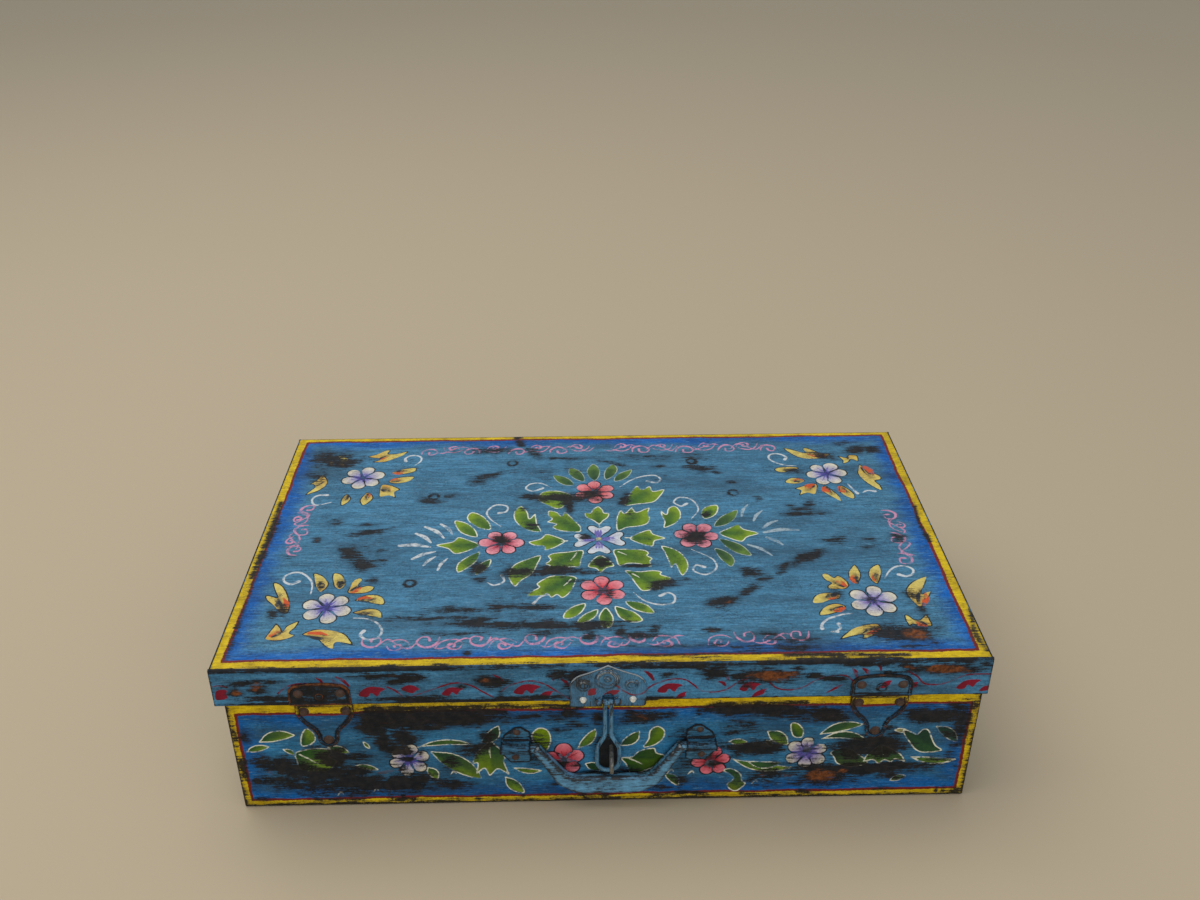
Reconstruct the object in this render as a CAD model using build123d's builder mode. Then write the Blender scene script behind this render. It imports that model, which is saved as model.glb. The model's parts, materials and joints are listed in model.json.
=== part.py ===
from build123d import *
import os

# Small tin trunk: a folded sheet-steel box with a hinged lid, a padlock hasp,
# a hanging front handle and two riveted side catches.
# Frame: origin at the centre of the base, +X to the right, front face towards -Y,
# +Z up. All sizes in millimetres.

# ---------------------------------------------------------------- driving sizes
sheet = 0.7                      # thickness of the body and lid sheet
lid_width = 610.0
lid_depth = 362.0
lid_top = 151.0                  # height of the lid's upper face above the floor
lid_flange = 36.5                # height of the lid's turned-down side
lid_shift = -2.0                 # sideways play taken up by the loose lid
body_width = 602.0
body_depth = 354.0
body_top = 149.3                 # height of the rolled rim
bend = 2.0                       # outer radius of the folded edges
seam_flange = 12.0               # width of the end panels' folded seams

wire_r = 1.4                     # wire inside the rolled rim
curl_r = wire_r + 0.05 + sheet   # outer radius of the roll

hem_height = 6.0

fitting = 1.2                    # thickness of the hinge and hasp plates
pin_r = 1.5
bore_r = 1.56
knuckle_r = 2.9

hinge_x = 185.0
hinge_width = 50.0
hinge_z = 111.3

hasp_x = 2.0
hasp_pivot_z = 115.5
hasp_half = 30.3
hasp_bottom = 109.0
hasp_wire_r = 1.7

staple_x = 4.6
staple_r = 1.7
staple_reach = 20.0              # wall to the centreline of the staple's front run
staple_low = 49.5
staple_high = 62.0

handle_x = 2.5
handle_pivot_z = 66.0
pivot_gap = 5.0                  # wall to the handle's pivot axis
trunnion_r = 3.6
bracket_inner = 63.0             # handle centre to a bracket's inner edge
bracket_width = 25.0

catch_upper_x = (-223.8, 217.8)
catch_lower_x = (-222.5, 218.5)

# ---------------------------------------------------------------- derived sizes
front = body_depth / 2           # 177, body wall planes
lid_front = lid_depth / 2        # 181, lid flange planes
flange_low = lid_top - lid_flange
curl_z = body_top - curl_r
lid_left = -lid_width / 2 + lid_shift
lid_right = lid_width / 2 + lid_shift
end_x = body_width / 2
hinge_y = lid_front + knuckle_r
hasp_y = lid_front + knuckle_r   # distance of the hasp pin in front of the centre
pivot_y = front + pivot_gap

os.makedirs("parts", exist_ok=True)


# ---------------------------------------------------------------- trunk body
# Front wall, bottom and back wall are one folded sheet. Its upper edges are
# rolled inwards over the rim wire and stop short of the corners.
with BuildPart() as body_wrap:
    with BuildSketch(Plane.YZ):
        with BuildLine():
            FilletPolyline(
                (-front, curl_z), (-front, 0), (front, 0), (front, curl_z), radius=bend
            )
            offset(amount=sheet, side=Side.LEFT)
        make_face()
    extrude(amount=end_x, both=True)
    with BuildSketch(Plane.YZ):
        for side in (1, -1):
            with BuildLine():
                centre = (-side * (front - curl_r), curl_z)
                start, turn = (180, -240) if side == 1 else (0, 240)
                roll = CenterArc(centre, curl_r, start, turn)
                bore = CenterArc(centre, curl_r - sheet, start, turn)
                Line(roll @ 0, bore @ 0)
                Line(roll @ 1, bore @ 1)
            make_face()
    extrude(amount=end_x - 8, both=True)
    # holes for the staple, the handle brackets and the side catches
    with BuildSketch(Plane.XZ.offset(front)):
        with Locations((staple_x, staple_low), (staple_x, staple_high)):
            Circle(staple_r + 0.04)
        with Locations(
            (handle_x - bracket_inner - 11, 79.5), (handle_x - bracket_inner - 13, 52.5),
            (handle_x + bracket_inner + 11, 79.5), (handle_x + bracket_inner + 13, 52.5),
        ):
            Circle(1.54)
        for cx in catch_lower_x:
            with Locations((cx - 16.5, 105.5), (cx + 16.5, 105.5), (cx, 75.5)):
                Circle(2.04)
    extrude(amount=-3, mode=Mode.SUBTRACT)
    # holes for the lower hinge leaves
    with BuildSketch(Plane.XZ.offset(-front)):
        for cx in (-hinge_x, hinge_x):
            with Locations((cx - 16, 83), (cx + 16, 83), (cx, 91)):
                Circle(1.54)
    extrude(amount=3, mode=Mode.SUBTRACT)
body_wrap.part.label = "body_wrap"
export_step(body_wrap.part, "parts/body_wrap.step")

# End panel with folded seams against the front, back and bottom.
with BuildPart() as body_end_right:
    with BuildSketch(Plane.XY.offset(bend + 0.1)):
        with BuildLine():
            FilletPolyline(
                (end_x - seam_flange, -front + sheet),
                (end_x, -front + sheet),
                (end_x, front - sheet),
                (end_x - seam_flange, front - sheet),
                radius=1.4,
            )
            offset(amount=sheet, side=Side.LEFT)
        make_face()
    extrude(amount=141.8)
    with BuildSketch(Plane.XZ):
        with Locations((end_x, sheet)):
            Rectangle(seam_flange, sheet, align=(Align.MAX, Align.MIN))
        with Locations((end_x, sheet)):
            Rectangle(sheet, curl_z - sheet, align=(Align.MAX, Align.MIN))
    extrude(amount=front - bend, both=True)
    with BuildSketch(Plane.XZ):
        with BuildLine():
            roll = CenterArc((end_x - curl_r, curl_z), curl_r, 0, 240)
            bore = CenterArc((end_x - curl_r, curl_z), curl_r - sheet, 0, 240)
            Line(roll @ 0, bore @ 0)
            Line(roll @ 1, bore @ 1)
        make_face()
    extrude(amount=front - 9, both=True)
body_end_right.part.label = "body_end_right"
export_step(body_end_right.part, "parts/body_end_right.step")

with BuildPart() as body_end_left:
    add(mirror(body_end_right.part, about=Plane.YZ))
body_end_left.part.label = "body_end_left"
export_step(body_end_left.part, "parts/body_end_left.step")

# Steel wire that stiffens the rolled rim, one ring bent round four corners.
with BuildPart() as body_rim_wire:
    with BuildLine(Plane.XY.offset(curl_z)) as rim_path:
        rx, ry, rc = end_x - curl_r, front - curl_r, 4.0
        Line((0, -ry), (rx - rc, -ry))
        CenterArc((rx - rc, -ry + rc), rc, -90, 90)
        Line((rx, -ry + rc), (rx, ry - rc))
        CenterArc((rx - rc, ry - rc), rc, 0, 90)
        Line((rx - rc, ry), (-rx + rc, ry))
        CenterArc((-rx + rc, ry - rc), rc, 90, 90)
        Line((-rx, ry - rc), (-rx, -ry + rc))
        CenterArc((-rx + rc, -ry + rc), rc, 180, 90)
        Line((-rx + rc, -ry), (0, -ry))
    with BuildSketch(Plane(origin=(0, -ry, curl_z), z_dir=(1, 0, 0))):
        Circle(wire_r)
    sweep()
body_rim_wire.part.label = "body_rim_wire"
export_step(body_rim_wire.part, "parts/body_rim_wire.step")

# ---------------------------------------------------------------- lid
# Top, front flange and back flange are one folded sheet with a flat hem.
with BuildPart() as lid_pan:
    with BuildSketch(Plane.YZ.offset(lid_left)):
        with BuildLine():
            FilletPolyline(
                (-lid_front, flange_low), (-lid_front, lid_top),
                (lid_front, lid_top), (lid_front, flange_low), radius=bend + 0.3,
            )
            offset(amount=sheet, side=Side.RIGHT)
        make_face()
    extrude(amount=lid_width)
    with BuildSketch(Plane.YZ.offset(lid_left + sheet)):
        for side in (-1, 1):
            with Locations((side * (lid_front - sheet * 1.5), flange_low)):
                Rectangle(sheet, hem_height, align=(Align.CENTER, Align.MIN))
    extrude(amount=lid_width - 2 * sheet)
    # holes for the hasp plate and the upper catch plates
    with BuildSketch(Plane.XZ.offset(lid_front)):
        with Locations((hasp_x - 19.6, 116.7), (hasp_x + 19.6, 116.7)):
            Circle(1.54)
        for cx in catch_upper_x:
            with Locations((cx - 16.4, 127.0), (cx + 16.4, 127.0)):
                Circle(2.04)
    extrude(amount=-3, mode=Mode.SUBTRACT)
    # holes for the upper hinge leaves
    with BuildSketch(Plane.XZ.offset(-lid_front)):
        for cx in (-hinge_x, hinge_x):
            with Locations((cx - 16, 132), (cx + 16, 132), (cx, 125)):
                Circle(1.54)
    extrude(amount=3, mode=Mode.SUBTRACT)
lid_pan.part.label = "lid_pan"
export_step(lid_pan.part, "parts/lid_pan.step")

# End strip of the lid, folded under the top and into both corners.
lid_ends = {}
for name, outer, inward in (("lid_end_right", lid_right, -1), ("lid_end_left", lid_left, 1)):
    with BuildPart() as lid_end:
        with BuildSketch(Plane.XZ):
            with Locations((outer + inward * sheet / 2, flange_low)):
                Rectangle(sheet, lid_flange - bend - 0.4, align=(Align.CENTER, Align.MIN))
        extrude(amount=lid_front - sheet, both=True)
        with BuildSketch(Plane.XZ):
            with Locations((outer + inward * sheet * 1.5, flange_low)):
                Rectangle(sheet, hem_height, align=(Align.CENTER, Align.MIN))
        extrude(amount=lid_front - 2 * sheet, both=True)
        with BuildSketch(Plane.XZ):
            with Locations((outer + inward * sheet / 2, flange_low)):
                Rectangle(sheet, lid_flange - sheet, align=(Align.CENTER, Align.MIN))
            with Locations((outer + inward * (seam_flange / 2 + sheet / 2), lid_top - sheet * 1.5)):
                Rectangle(seam_flange, sheet)
        extrude(amount=lid_front - bend - 0.4, both=True)
        with BuildSketch(Plane.XY.offset(flange_low + hem_height + 1)):
            for side in (-1, 1):
                with Locations((outer + inward * (seam_flange / 2 + sheet / 2), side * (lid_front - sheet * 1.5))):
                    Rectangle(seam_flange, sheet)
        extrude(amount=lid_flange - hem_height - sheet - 3.5)
    lid_end.part.label = name
    export_step(lid_end.part, "parts/" + name + ".step")
    lid_ends[name] = lid_end.part

# ---------------------------------------------------------------- hinges
# Upper leaf on the lid's back flange: plate and two outer knuckles.
# Lower leaf on the body's back wall: plate, joggle and one middle knuckle.
for name, cx in (("left", -hinge_x), ("right", hinge_x)):
    with BuildPart() as leaf:
        with BuildSketch(Plane.YZ.offset(cx)):
            with Locations((lid_front + fitting / 2, hinge_z)):
                Rectangle(fitting, 29.0, align=(Align.CENTER, Align.MIN))
            with Locations((hinge_y, hinge_z)):
                Circle(knuckle_r)
        extrude(amount=hinge_width / 2, both=True)
        with BuildSketch(Plane.YZ.offset(cx)):
            with Locations((hinge_y, hinge_z)):
                Rectangle(2 * knuckle_r + 1, 2 * knuckle_r + 0.6)
        extrude(amount=10.0, both=True, mode=Mode.SUBTRACT)
        with BuildSketch(Plane.YZ.offset(cx)):
            with Locations((hinge_y, hinge_z)):
                Circle(bore_r)
        extrude(amount=hinge_width / 2, both=True, mode=Mode.SUBTRACT)
        with BuildSketch(Plane.XZ.offset(-lid_front)):
            with Locations((cx - 16, 132), (cx + 16, 132), (cx, 125)):
                Circle(1.54)
        extrude(amount=-fitting, mode=Mode.SUBTRACT)
        top_corners = leaf.edges().filter_by(Axis.Y).group_by(Axis.Z)[-1]
        fillet(top_corners, radius=6)
    leaf.part.label = "hinge_upper_leaf_" + name
    export_step(leaf.part, "parts/hinge_upper_leaf_" + name + ".step")

    with BuildPart() as lower:
        with BuildSketch(Plane.YZ.offset(cx)):
            with BuildLine():
                FilletPolyline(
                    (front, 75.0), (front, 101.0), (lid_front, 107.0), (lid_front, hinge_z - 3.4),
                    radius=2.2,
                )
                offset(amount=fitting, side=Side.RIGHT)
            make_face()
        extrude(amount=hinge_width / 2, both=True)
        with BuildSketch(Plane.YZ.offset(cx)):
            with Locations((lid_front + fitting / 2, hinge_z - 3.5)):
                Rectangle(fitting, 3.5, align=(Align.CENTER, Align.MIN))
            with Locations((hinge_y, hinge_z)):
                Circle(knuckle_r)
        extrude(amount=9.6, both=True)
        with BuildSketch(Plane.YZ.offset(cx)):
            with Locations((hinge_y, hinge_z)):
                Circle(bore_r)
        extrude(amount=9.6, both=True, mode=Mode.SUBTRACT)
        with BuildSketch(Plane.XZ.offset(-front)):
            with Locations((cx - 16, 83), (cx + 16, 83), (cx, 91)):
                Circle(1.54)
        extrude(amount=-fitting, mode=Mode.SUBTRACT)
        low_corners = lower.edges().filter_by(Axis.Y).group_by(Axis.Z)[0]
        fillet(low_corners, radius=6)
    lower.part.label = "hinge_lower_leaf_" + name
    export_step(lower.part, "parts/hinge_lower_leaf_" + name + ".step")

    with BuildPart() as pin:
        with BuildSketch(Plane.YZ.offset(cx)):
            with Locations((hinge_y, hinge_z)):
                Circle(pin_r)
        extrude(amount=hinge_width / 2 + 1.2, both=True)
        for end in (-1, 1):
            with BuildSketch(Plane.YZ.offset(cx + end * (hinge_width / 2 + 0.2))):
                with Locations((hinge_y, hinge_z)):
                    Circle(2.4)
            extrude(amount=end * 1.1)
    pin.part.label = "hinge_pin_" + name
    export_step(pin.part, "parts/hinge_pin_" + name + ".step")

# Small domed rivet lying along +Y: head outside, shank through the fitting and
# the sheet, flattened end inside. The origin is the outer face of the fitting.
with BuildPart() as hinge_rivet:
    with BuildSketch(Plane.XY):
        with BuildLine():
            grip = fitting + sheet
            ThreePointArc((0, 1.6), (1.75, 1.15), (3.0, 0))
            Polyline(
                (3.0, 0), (1.5, 0), (1.5, -grip), (2.4, -grip), (2.4, -grip - 0.7),
                (0, -grip - 0.7), (0, 1.6),
            )
        make_face()
    revolve(axis=Axis.Y)

with BuildPart() as hinge_upper_rivets:
    for cx in (-hinge_x, hinge_x):
        with Locations(
            (cx - 16, lid_front + fitting, 132), (cx + 16, lid_front + fitting, 132),
            (cx, lid_front + fitting, 125),
        ):
            add(hinge_rivet.part)
hinge_upper_rivets.part.label = "hinge_upper_rivets"
export_step(hinge_upper_rivets.part, "parts/hinge_upper_rivets.step")

with BuildPart() as hinge_lower_rivets:
    for cx in (-hinge_x, hinge_x):
        with Locations(
            (cx - 16, front + fitting, 83), (cx + 16, front + fitting, 83),
            (cx, front + fitting, 91),
        ):
            add(hinge_rivet.part)
hinge_lower_rivets.part.label = "hinge_lower_rivets"
export_step(hinge_lower_rivets.part, "parts/hinge_lower_rivets.step")

# ---------------------------------------------------------------- hasp
# Ogee-topped plate on the lid flange with an embossed ring, and two pressed-out
# ears at its foot that hold the pin of the wire loop.
with BuildPart() as hasp_plate:
    with BuildSketch(Plane.XZ.offset(lid_front)) as hasp_outline:
        with BuildLine():
            Line((hasp_x - hasp_half, 112.0), (hasp_x - hasp_half, 127.0))
            ThreePointArc(
                (hasp_x - hasp_half, 127.0), (hasp_x - 28.2, 135.6), (hasp_x - 21.8, 141.2)
            )
            ThreePointArc((hasp_x - 21.8, 141.2), (hasp_x - 10.6, 145.6), (hasp_x, 150.8))
            ThreePointArc((hasp_x, 150.8), (hasp_x + 10.6, 145.6), (hasp_x + 21.8, 141.2))
            ThreePointArc(
                (hasp_x + 21.8, 141.2), (hasp_x + 28.2, 135.6), (hasp_x + hasp_half, 127.0)
            )
            Line((hasp_x + hasp_half, 127.0), (hasp_x + hasp_half, 112.0))
            ThreePointArc(
                (hasp_x + hasp_half, 112.0), (hasp_x + 29.4, 109.9), (hasp_x + 27.3, hasp_bottom)
            )
            Line((hasp_x + 27.3, hasp_bottom), (hasp_x - 27.3, hasp_bottom))
            ThreePointArc(
                (hasp_x - 27.3, hasp_bottom), (hasp_x - 29.4, 109.9), (hasp_x - hasp_half, 112.0)
            )
        make_face()
    extrude(amount=fitting)
    # embossed ring, centre boss and side curls
    with BuildSketch(Plane.XZ.offset(lid_front + fitting)):
        with Locations((hasp_x - 0.6, 136.9)):
            Circle(8.9)
            Circle(7.0, mode=Mode.SUBTRACT)
            Circle(2.2)
        with Locations((hasp_x - 19.0, 130.8), (hasp_x + 18.6, 130.8)):
            Circle(5.0)
            Circle(3.6, mode=Mode.SUBTRACT)
    extrude(amount=0.8, taper=20)
    # ears for the pin
    for end in (-1, 1):
        with BuildSketch(Plane.YZ.offset(hasp_x + end * 4.6)):
            with Locations((-hasp_y, hasp_pivot_z)):
                Circle(knuckle_r)
            with Locations((-lid_front - fitting / 2, hasp_pivot_z)):
                Rectangle(fitting, 2 * knuckle_r)
        extrude(amount=end * 4.6)
    # notch that the loop hangs in, with a pointed top
    with BuildSketch(Plane.XZ.offset(lid_front)):
        with BuildLine():
            Polyline(
                (hasp_x - 4.55, hasp_bottom - 1), (hasp_x - 4.55, 119.6), (hasp_x, 123.2),
                (hasp_x + 4.55, 119.6), (hasp_x + 4.55, hasp_bottom - 1), close=True,
            )
        make_face()
        with Locations((hasp_x - 19.6, 116.7), (hasp_x + 19.6, 116.7)):
            Circle(1.54)
    extrude(amount=fitting, mode=Mode.SUBTRACT)
    with BuildSketch(Plane.YZ.offset(hasp_x)):
        with Locations((-hasp_y, hasp_pivot_z)):
            Circle(bore_r)
    extrude(amount=12, both=True, mode=Mode.SUBTRACT)
hasp_plate.part.label = "hasp_plate"
export_step(hasp_plate.part, "parts/hasp_plate.step")

with BuildPart() as hasp_plate_rivets:
    for end in (-1, 1):
        with BuildSketch(Plane.XZ.offset(lid_front + fitting)):
            with Locations((hasp_x + end * 19.6, 116.7)):
                Circle(2.8)
        extrude(amount=2.2, taper=24)
        with BuildSketch(Plane.XZ.offset(lid_front + fitting)):
            with Locations((hasp_x + end * 19.6, 116.7)):
                Circle(1.5)
        extrude(amount=-(fitting + 2 * sheet))
        with BuildSketch(Plane.XZ.offset(lid_front - 2 * sheet)):
            with Locations((hasp_x + end * 19.6, 116.7)):
                Circle(2.4)
        extrude(amount=-0.6)
hasp_plate_rivets.part.label = "hasp_plate_rivets"
export_step(hasp_plate_rivets.part, "parts/hasp_plate_rivets.step")

with BuildPart() as hasp_pin:
    with BuildSketch(Plane.YZ.offset(hasp_x)):
        with Locations((-hasp_y, hasp_pivot_z)):
            Circle(pin_r)
    extrude(amount=10.2, both=True)
    for end in (-1, 1):
        with BuildSketch(Plane.YZ.offset(hasp_x + end * 9.3)):
            with Locations((-hasp_y, hasp_pivot_z)):
                Circle(1.65)
        extrude(amount=end * 0.9)
hasp_pin.part.label = "hasp_pin"
export_step(hasp_pin.part, "parts/hasp_pin.step")

# Doubled steel wire that hangs from the pin and opens into a tear-shaped eye.
with BuildPart() as hasp_loop:
    with BuildLine(Plane.XZ.offset(hasp_y)) as loop_path:
        right_leg = FilletPolyline(
            (hasp_x + 2.4, hasp_pivot_z), (hasp_x + 2.4, 80.5),
            (hasp_x + 9.0, 67.0), (hasp_x + 9.0, 51.6), radius=12,
        )
        CenterArc((hasp_x, 51.6), 9.0, 0, -180)
        left_leg = FilletPolyline(
            (hasp_x - 9.0, 51.6), (hasp_x - 9.0, 67.0),
            (hasp_x - 2.4, 80.5), (hasp_x - 2.4, hasp_pivot_z), radius=12,
        )
    with BuildSketch(Plane(origin=(hasp_x + 2.4, -hasp_y, hasp_pivot_z), z_dir=(0, 0, -1))):
        Circle(hasp_wire_r)
    sweep()
    with BuildSketch(Plane.YZ.offset(hasp_x)):
        with Locations((-hasp_y, hasp_pivot_z)):
            Circle(knuckle_r - 0.3)
    extrude(amount=4.2, both=True)
    with BuildSketch(Plane.YZ.offset(hasp_x)):
        with Locations((-hasp_y, hasp_pivot_z)):
            Circle(bore_r)
    extrude(amount=6, both=True, mode=Mode.SUBTRACT)
hasp_loop.part.label = "hasp_loop"
export_step(hasp_loop.part, "parts/hasp_loop.step")

# Staple: a bent steel wire through the wall, clenched over a backing plate.
with BuildPart() as staple:
    with BuildLine(Plane.YZ.offset(staple_x)):
        FilletPolyline(
            (-front + sheet + 1.0, staple_low), (-front - staple_reach, staple_low),
            (-front - staple_reach, staple_high), (-front + sheet + 1.0, staple_high),
            radius=5.8,
        )
    with BuildSketch(Plane(origin=(staple_x, -front + sheet + 1.0, staple_low), z_dir=(0, -1, 0))):
        Circle(staple_r)
    sweep()
    with BuildSketch(Plane.XZ.offset(front - sheet - 1.0)):
        with Locations((staple_x, staple_low), (staple_x, staple_high)):
            Circle(2.7)
    extrude(amount=-1.1)
staple.part.label = "staple"
export_step(staple.part, "parts/staple.step")

with BuildPart() as staple_backing_plate:
    with BuildSketch(Plane.XZ.offset(front - sheet)):
        with Locations((staple_x, (staple_low + staple_high) / 2)):
            RectangleRounded(14, 36, 3)
        with Locations((staple_x, staple_low), (staple_x, staple_high)):
            Circle(staple_r + 0.04, mode=Mode.SUBTRACT)
    extrude(amount=-1.0)
staple_backing_plate.part.label = "staple_backing_plate"
export_step(staple_backing_plate.part, "parts/staple_backing_plate.step")

# ---------------------------------------------------------------- handle
# Bail pressed from sheet into a half tube: two sloping arms, a broad bowed grip,
# and a round trunnion at the head of each arm. The back is open.
with BuildPart() as handle:
    back_y = pivot_y - 2.5
    bail_corners = (
        (-32.5, 35.3), (32.5, 35.3), (56.9, 70.0), (63.1, 67.0), (42.0, 27.3),
        (27.0, 17.2), (-27.0, 17.2), (-42.0, 27.3), (-63.1, 67.0), (-56.9, 70.0),
    )
    with BuildSketch(Plane.XZ.offset(back_y)) as bail_outline:
        with BuildLine():
            FilletPolyline(
                [(handle_x + x, z) for x, z in bail_corners],
                radius=[12, 12, 2.6, 2.6, 20, 24, 24, 20, 2.6, 2.6], close=True,
            )
        make_face()
    extrude(amount=6.6)
    fillet(handle.faces().sort_by(Axis.Y)[0].edges(), radius=2.5)
    # hollow back
    with BuildSketch(Plane.XZ.offset(back_y)):
        add(bail_outline.sketch)
        offset(amount=-1.3, mode=Mode.REPLACE)
    extrude(amount=4.0, mode=Mode.SUBTRACT)
    for end in (-1, 1):
        with BuildSketch(Plane.YZ.offset(handle_x + end * 57.5)):
            with Locations((-pivot_y, handle_pivot_z)):
                Circle(trunnion_r)
        extrude(amount=end * (bracket_inner + bracket_width - 4 - 57.5))
handle.part.label = "handle"
export_step(handle.part, "parts/handle.step")

# Bracket: a riveted plate with a pointed head, rolled over the trunnion.
bracket_z0, bracket_z1 = 46.5, 85.0
with BuildPart() as handle_bracket_right:
    inner = handle_x + bracket_inner
    with BuildSketch(Plane.YZ.offset(inner)):
        with Locations((-front - fitting / 2, bracket_z0)):
            Rectangle(fitting, bracket_z1 - bracket_z0, align=(Align.CENTER, Align.MIN))
        with Locations((-front, handle_pivot_z)):
            Rectangle(pivot_gap, 2 * (trunnion_r + 0.08 + fitting), align=(Align.MAX, Align.CENTER))
        with Locations((-pivot_y, handle_pivot_z)):
            Circle(trunnion_r + 0.08 + fitting)
            Circle(trunnion_r + 0.08, mode=Mode.SUBTRACT)
        with Locations((-front, handle_pivot_z)):
            Rectangle(pivot_gap, 2 * (trunnion_r + 0.08), align=(Align.MAX, Align.CENTER), mode=Mode.SUBTRACT)
    extrude(amount=bracket_width)
    # front outline
    with BuildSketch(Plane.XZ.offset(front)):
        with BuildLine():
            FilletPolyline(
                (inner, 48.0), (inner, 79.0), (inner + 7.5, 85.0), (inner + 12.5, 84.4),
                (inner + 21.5, 76.5), (inner + 25.0, 68.0), (inner + 25.0, 57.0), (inner + 17.0, 46.5),
                (inner + 3.0, 46.5), radius=1.2, close=True,
            )
        make_face()
    extrude(amount=20, mode=Mode.INTERSECT)
    with BuildSketch(Plane.XZ.offset(front)):
        with Locations((inner + 11, 79.5), (inner + 13, 52.5)):
            Circle(1.54)
    extrude(amount=fitting, mode=Mode.SUBTRACT)
handle_bracket_right.part.label = "handle_bracket_right"
export_step(handle_bracket_right.part, "parts/handle_bracket_right.step")

with BuildPart() as handle_bracket_left:
    add(mirror(handle_bracket_right.part, about=Plane.YZ.offset(handle_x)))
handle_bracket_left.part.label = "handle_bracket_left"
export_step(handle_bracket_left.part, "parts/handle_bracket_left.step")

# Small domed rivet lying along -Y, the mirror image of the hinge rivet.
with BuildPart() as front_rivet:
    add(mirror(hinge_rivet.part, about=Plane.XZ))

with BuildPart() as handle_bracket_rivets:
    with Locations(
        (handle_x - bracket_inner - 11, -front - fitting, 79.5),
        (handle_x - bracket_inner - 13, -front - fitting, 52.5),
        (handle_x + bracket_inner + 11, -front - fitting, 79.5),
        (handle_x + bracket_inner + 13, -front - fitting, 52.5),
    ):
        add(front_rivet.part)
handle_bracket_rivets.part.label = "handle_bracket_rivets"
export_step(handle_bracket_rivets.part, "parts/handle_bracket_rivets.step")

# ---------------------------------------------------------------- side catches
# Upper catch plate: arched, with a raised rim and a centre boss, on the lid flange.
# Lower catch plate: tulip-shaped with a raised rim, on the body wall.
for name, ux, lx in (("left", catch_upper_x[0], catch_lower_x[0]), ("right", catch_upper_x[1], catch_lower_x[1])):
    cx = ux
    with BuildPart() as upper:
        with BuildSketch(Plane.XZ.offset(lid_front)) as arch:
            with BuildLine():
                Polyline((cx - 24.3, 127.0), (cx - 24.3, 115.6), (cx + 24.3, 115.6), (cx + 24.3, 127.0))
                ThreePointArc((cx + 24.3, 127.0), (cx + 22.2, 133.0), (cx + 16.5, 135.9))
                ThreePointArc((cx + 16.5, 135.9), (cx, 137.6), (cx - 16.5, 135.9))
                ThreePointArc((cx - 16.5, 135.9), (cx - 22.2, 133.0), (cx - 24.3, 127.0))
            make_face()
        extrude(amount=1.0)
        with BuildSketch(Plane.XZ.offset(lid_front + 1.0)):
            add(arch.sketch)
            offset(arch.sketch, amount=-2.0, kind=Kind.INTERSECTION, mode=Mode.SUBTRACT)
        extrude(amount=0.9)
        with BuildSketch(Plane.XZ.offset(lid_front + 1.0)):
            with Locations((cx, 124.5)):
                Circle(3.8)
        extrude(amount=1.2, taper=25)
        with BuildSketch(Plane.XZ.offset(lid_front)):
            with Locations((cx - 16.4, 127.0), (cx + 16.4, 127.0)):
                Circle(2.04)
        extrude(amount=1.0, mode=Mode.SUBTRACT)
    upper.part.label = "catch_upper_" + name
    export_step(upper.part, "parts/catch_upper_" + name + ".step")

    cx = lx
    with BuildPart() as tulip:
        with BuildSketch(Plane.XZ.offset(front)) as cup:
            with BuildLine():
                Polyline((cx - 23, 103.0), (cx - 23, 113.2), (cx + 23, 113.2), (cx + 23, 103.0))
                ThreePointArc((cx + 23, 103.0), (cx + 18.5, 94.0), (cx + 12.2, 87.5))
                ThreePointArc((cx + 12.2, 87.5), (cx + 9.2, 82.0), (cx + 8.4, 76.0))
                ThreePointArc((cx + 8.4, 76.0), (cx, 68.4), (cx - 8.4, 76.0))
                ThreePointArc((cx - 8.4, 76.0), (cx - 9.2, 82.0), (cx - 12.2, 87.5))
                ThreePointArc((cx - 12.2, 87.5), (cx - 18.5, 94.0), (cx - 23, 103.0))
            make_face()
        extrude(amount=1.2)
        with BuildSketch(Plane.XZ.offset(front + 1.2)):
            add(cup.sketch)
            with BuildLine():
                Polyline((cx - 20.8, 103.8), (cx - 20.8, 111.2), (cx + 20.8, 111.2), (cx + 20.8, 103.8))
                ThreePointArc((cx + 20.8, 103.8), (cx + 16.6, 95.4), (cx + 10.2, 88.6))
                ThreePointArc((cx + 10.2, 88.6), (cx + 7.1, 82.6), (cx + 6.2, 76.2))
                ThreePointArc((cx + 6.2, 76.2), (cx, 70.6), (cx - 6.2, 76.2))
                ThreePointArc((cx - 6.2, 76.2), (cx - 7.1, 82.6), (cx - 10.2, 88.6))
                ThreePointArc((cx - 10.2, 88.6), (cx - 16.6, 95.4), (cx - 20.8, 103.8))
            make_face(mode=Mode.SUBTRACT)
        extrude(amount=1.2)
        with BuildSketch(Plane.XZ.offset(front)):
            with Locations((cx - 16.5, 105.5), (cx + 16.5, 105.5), (cx, 75.5)):
                Circle(2.04)
        extrude(amount=1.2, mode=Mode.SUBTRACT)
    tulip.part.label = "catch_lower_" + name
    export_step(tulip.part, "parts/catch_lower_" + name + ".step")

# Large domed rivet lying along -Y; the origin is the outer face of the plate.
with BuildPart() as catch_rivet:
    with BuildSketch(Plane.XY):
        with BuildLine():
            grip = 1.0 + sheet
            ThreePointArc((0, -2.3), (2.5, -1.6), (4.0, 0))
            Polyline(
                (4.0, 0), (2.0, 0), (2.0, grip), (3.0, grip), (3.0, grip + 0.7),
                (0, grip + 0.7), (0, -2.3),
            )
        make_face()
    revolve(axis=Axis.Y)

with BuildPart() as catch_upper_rivets:
    for cx in catch_upper_x:
        with Locations((cx - 16.4, -lid_front - 1.0, 127.0), (cx + 16.4, -lid_front - 1.0, 127.0)):
            add(catch_rivet.part)
catch_upper_rivets.part.label = "catch_upper_rivets"
export_step(catch_upper_rivets.part, "parts/catch_upper_rivets.step")

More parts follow.
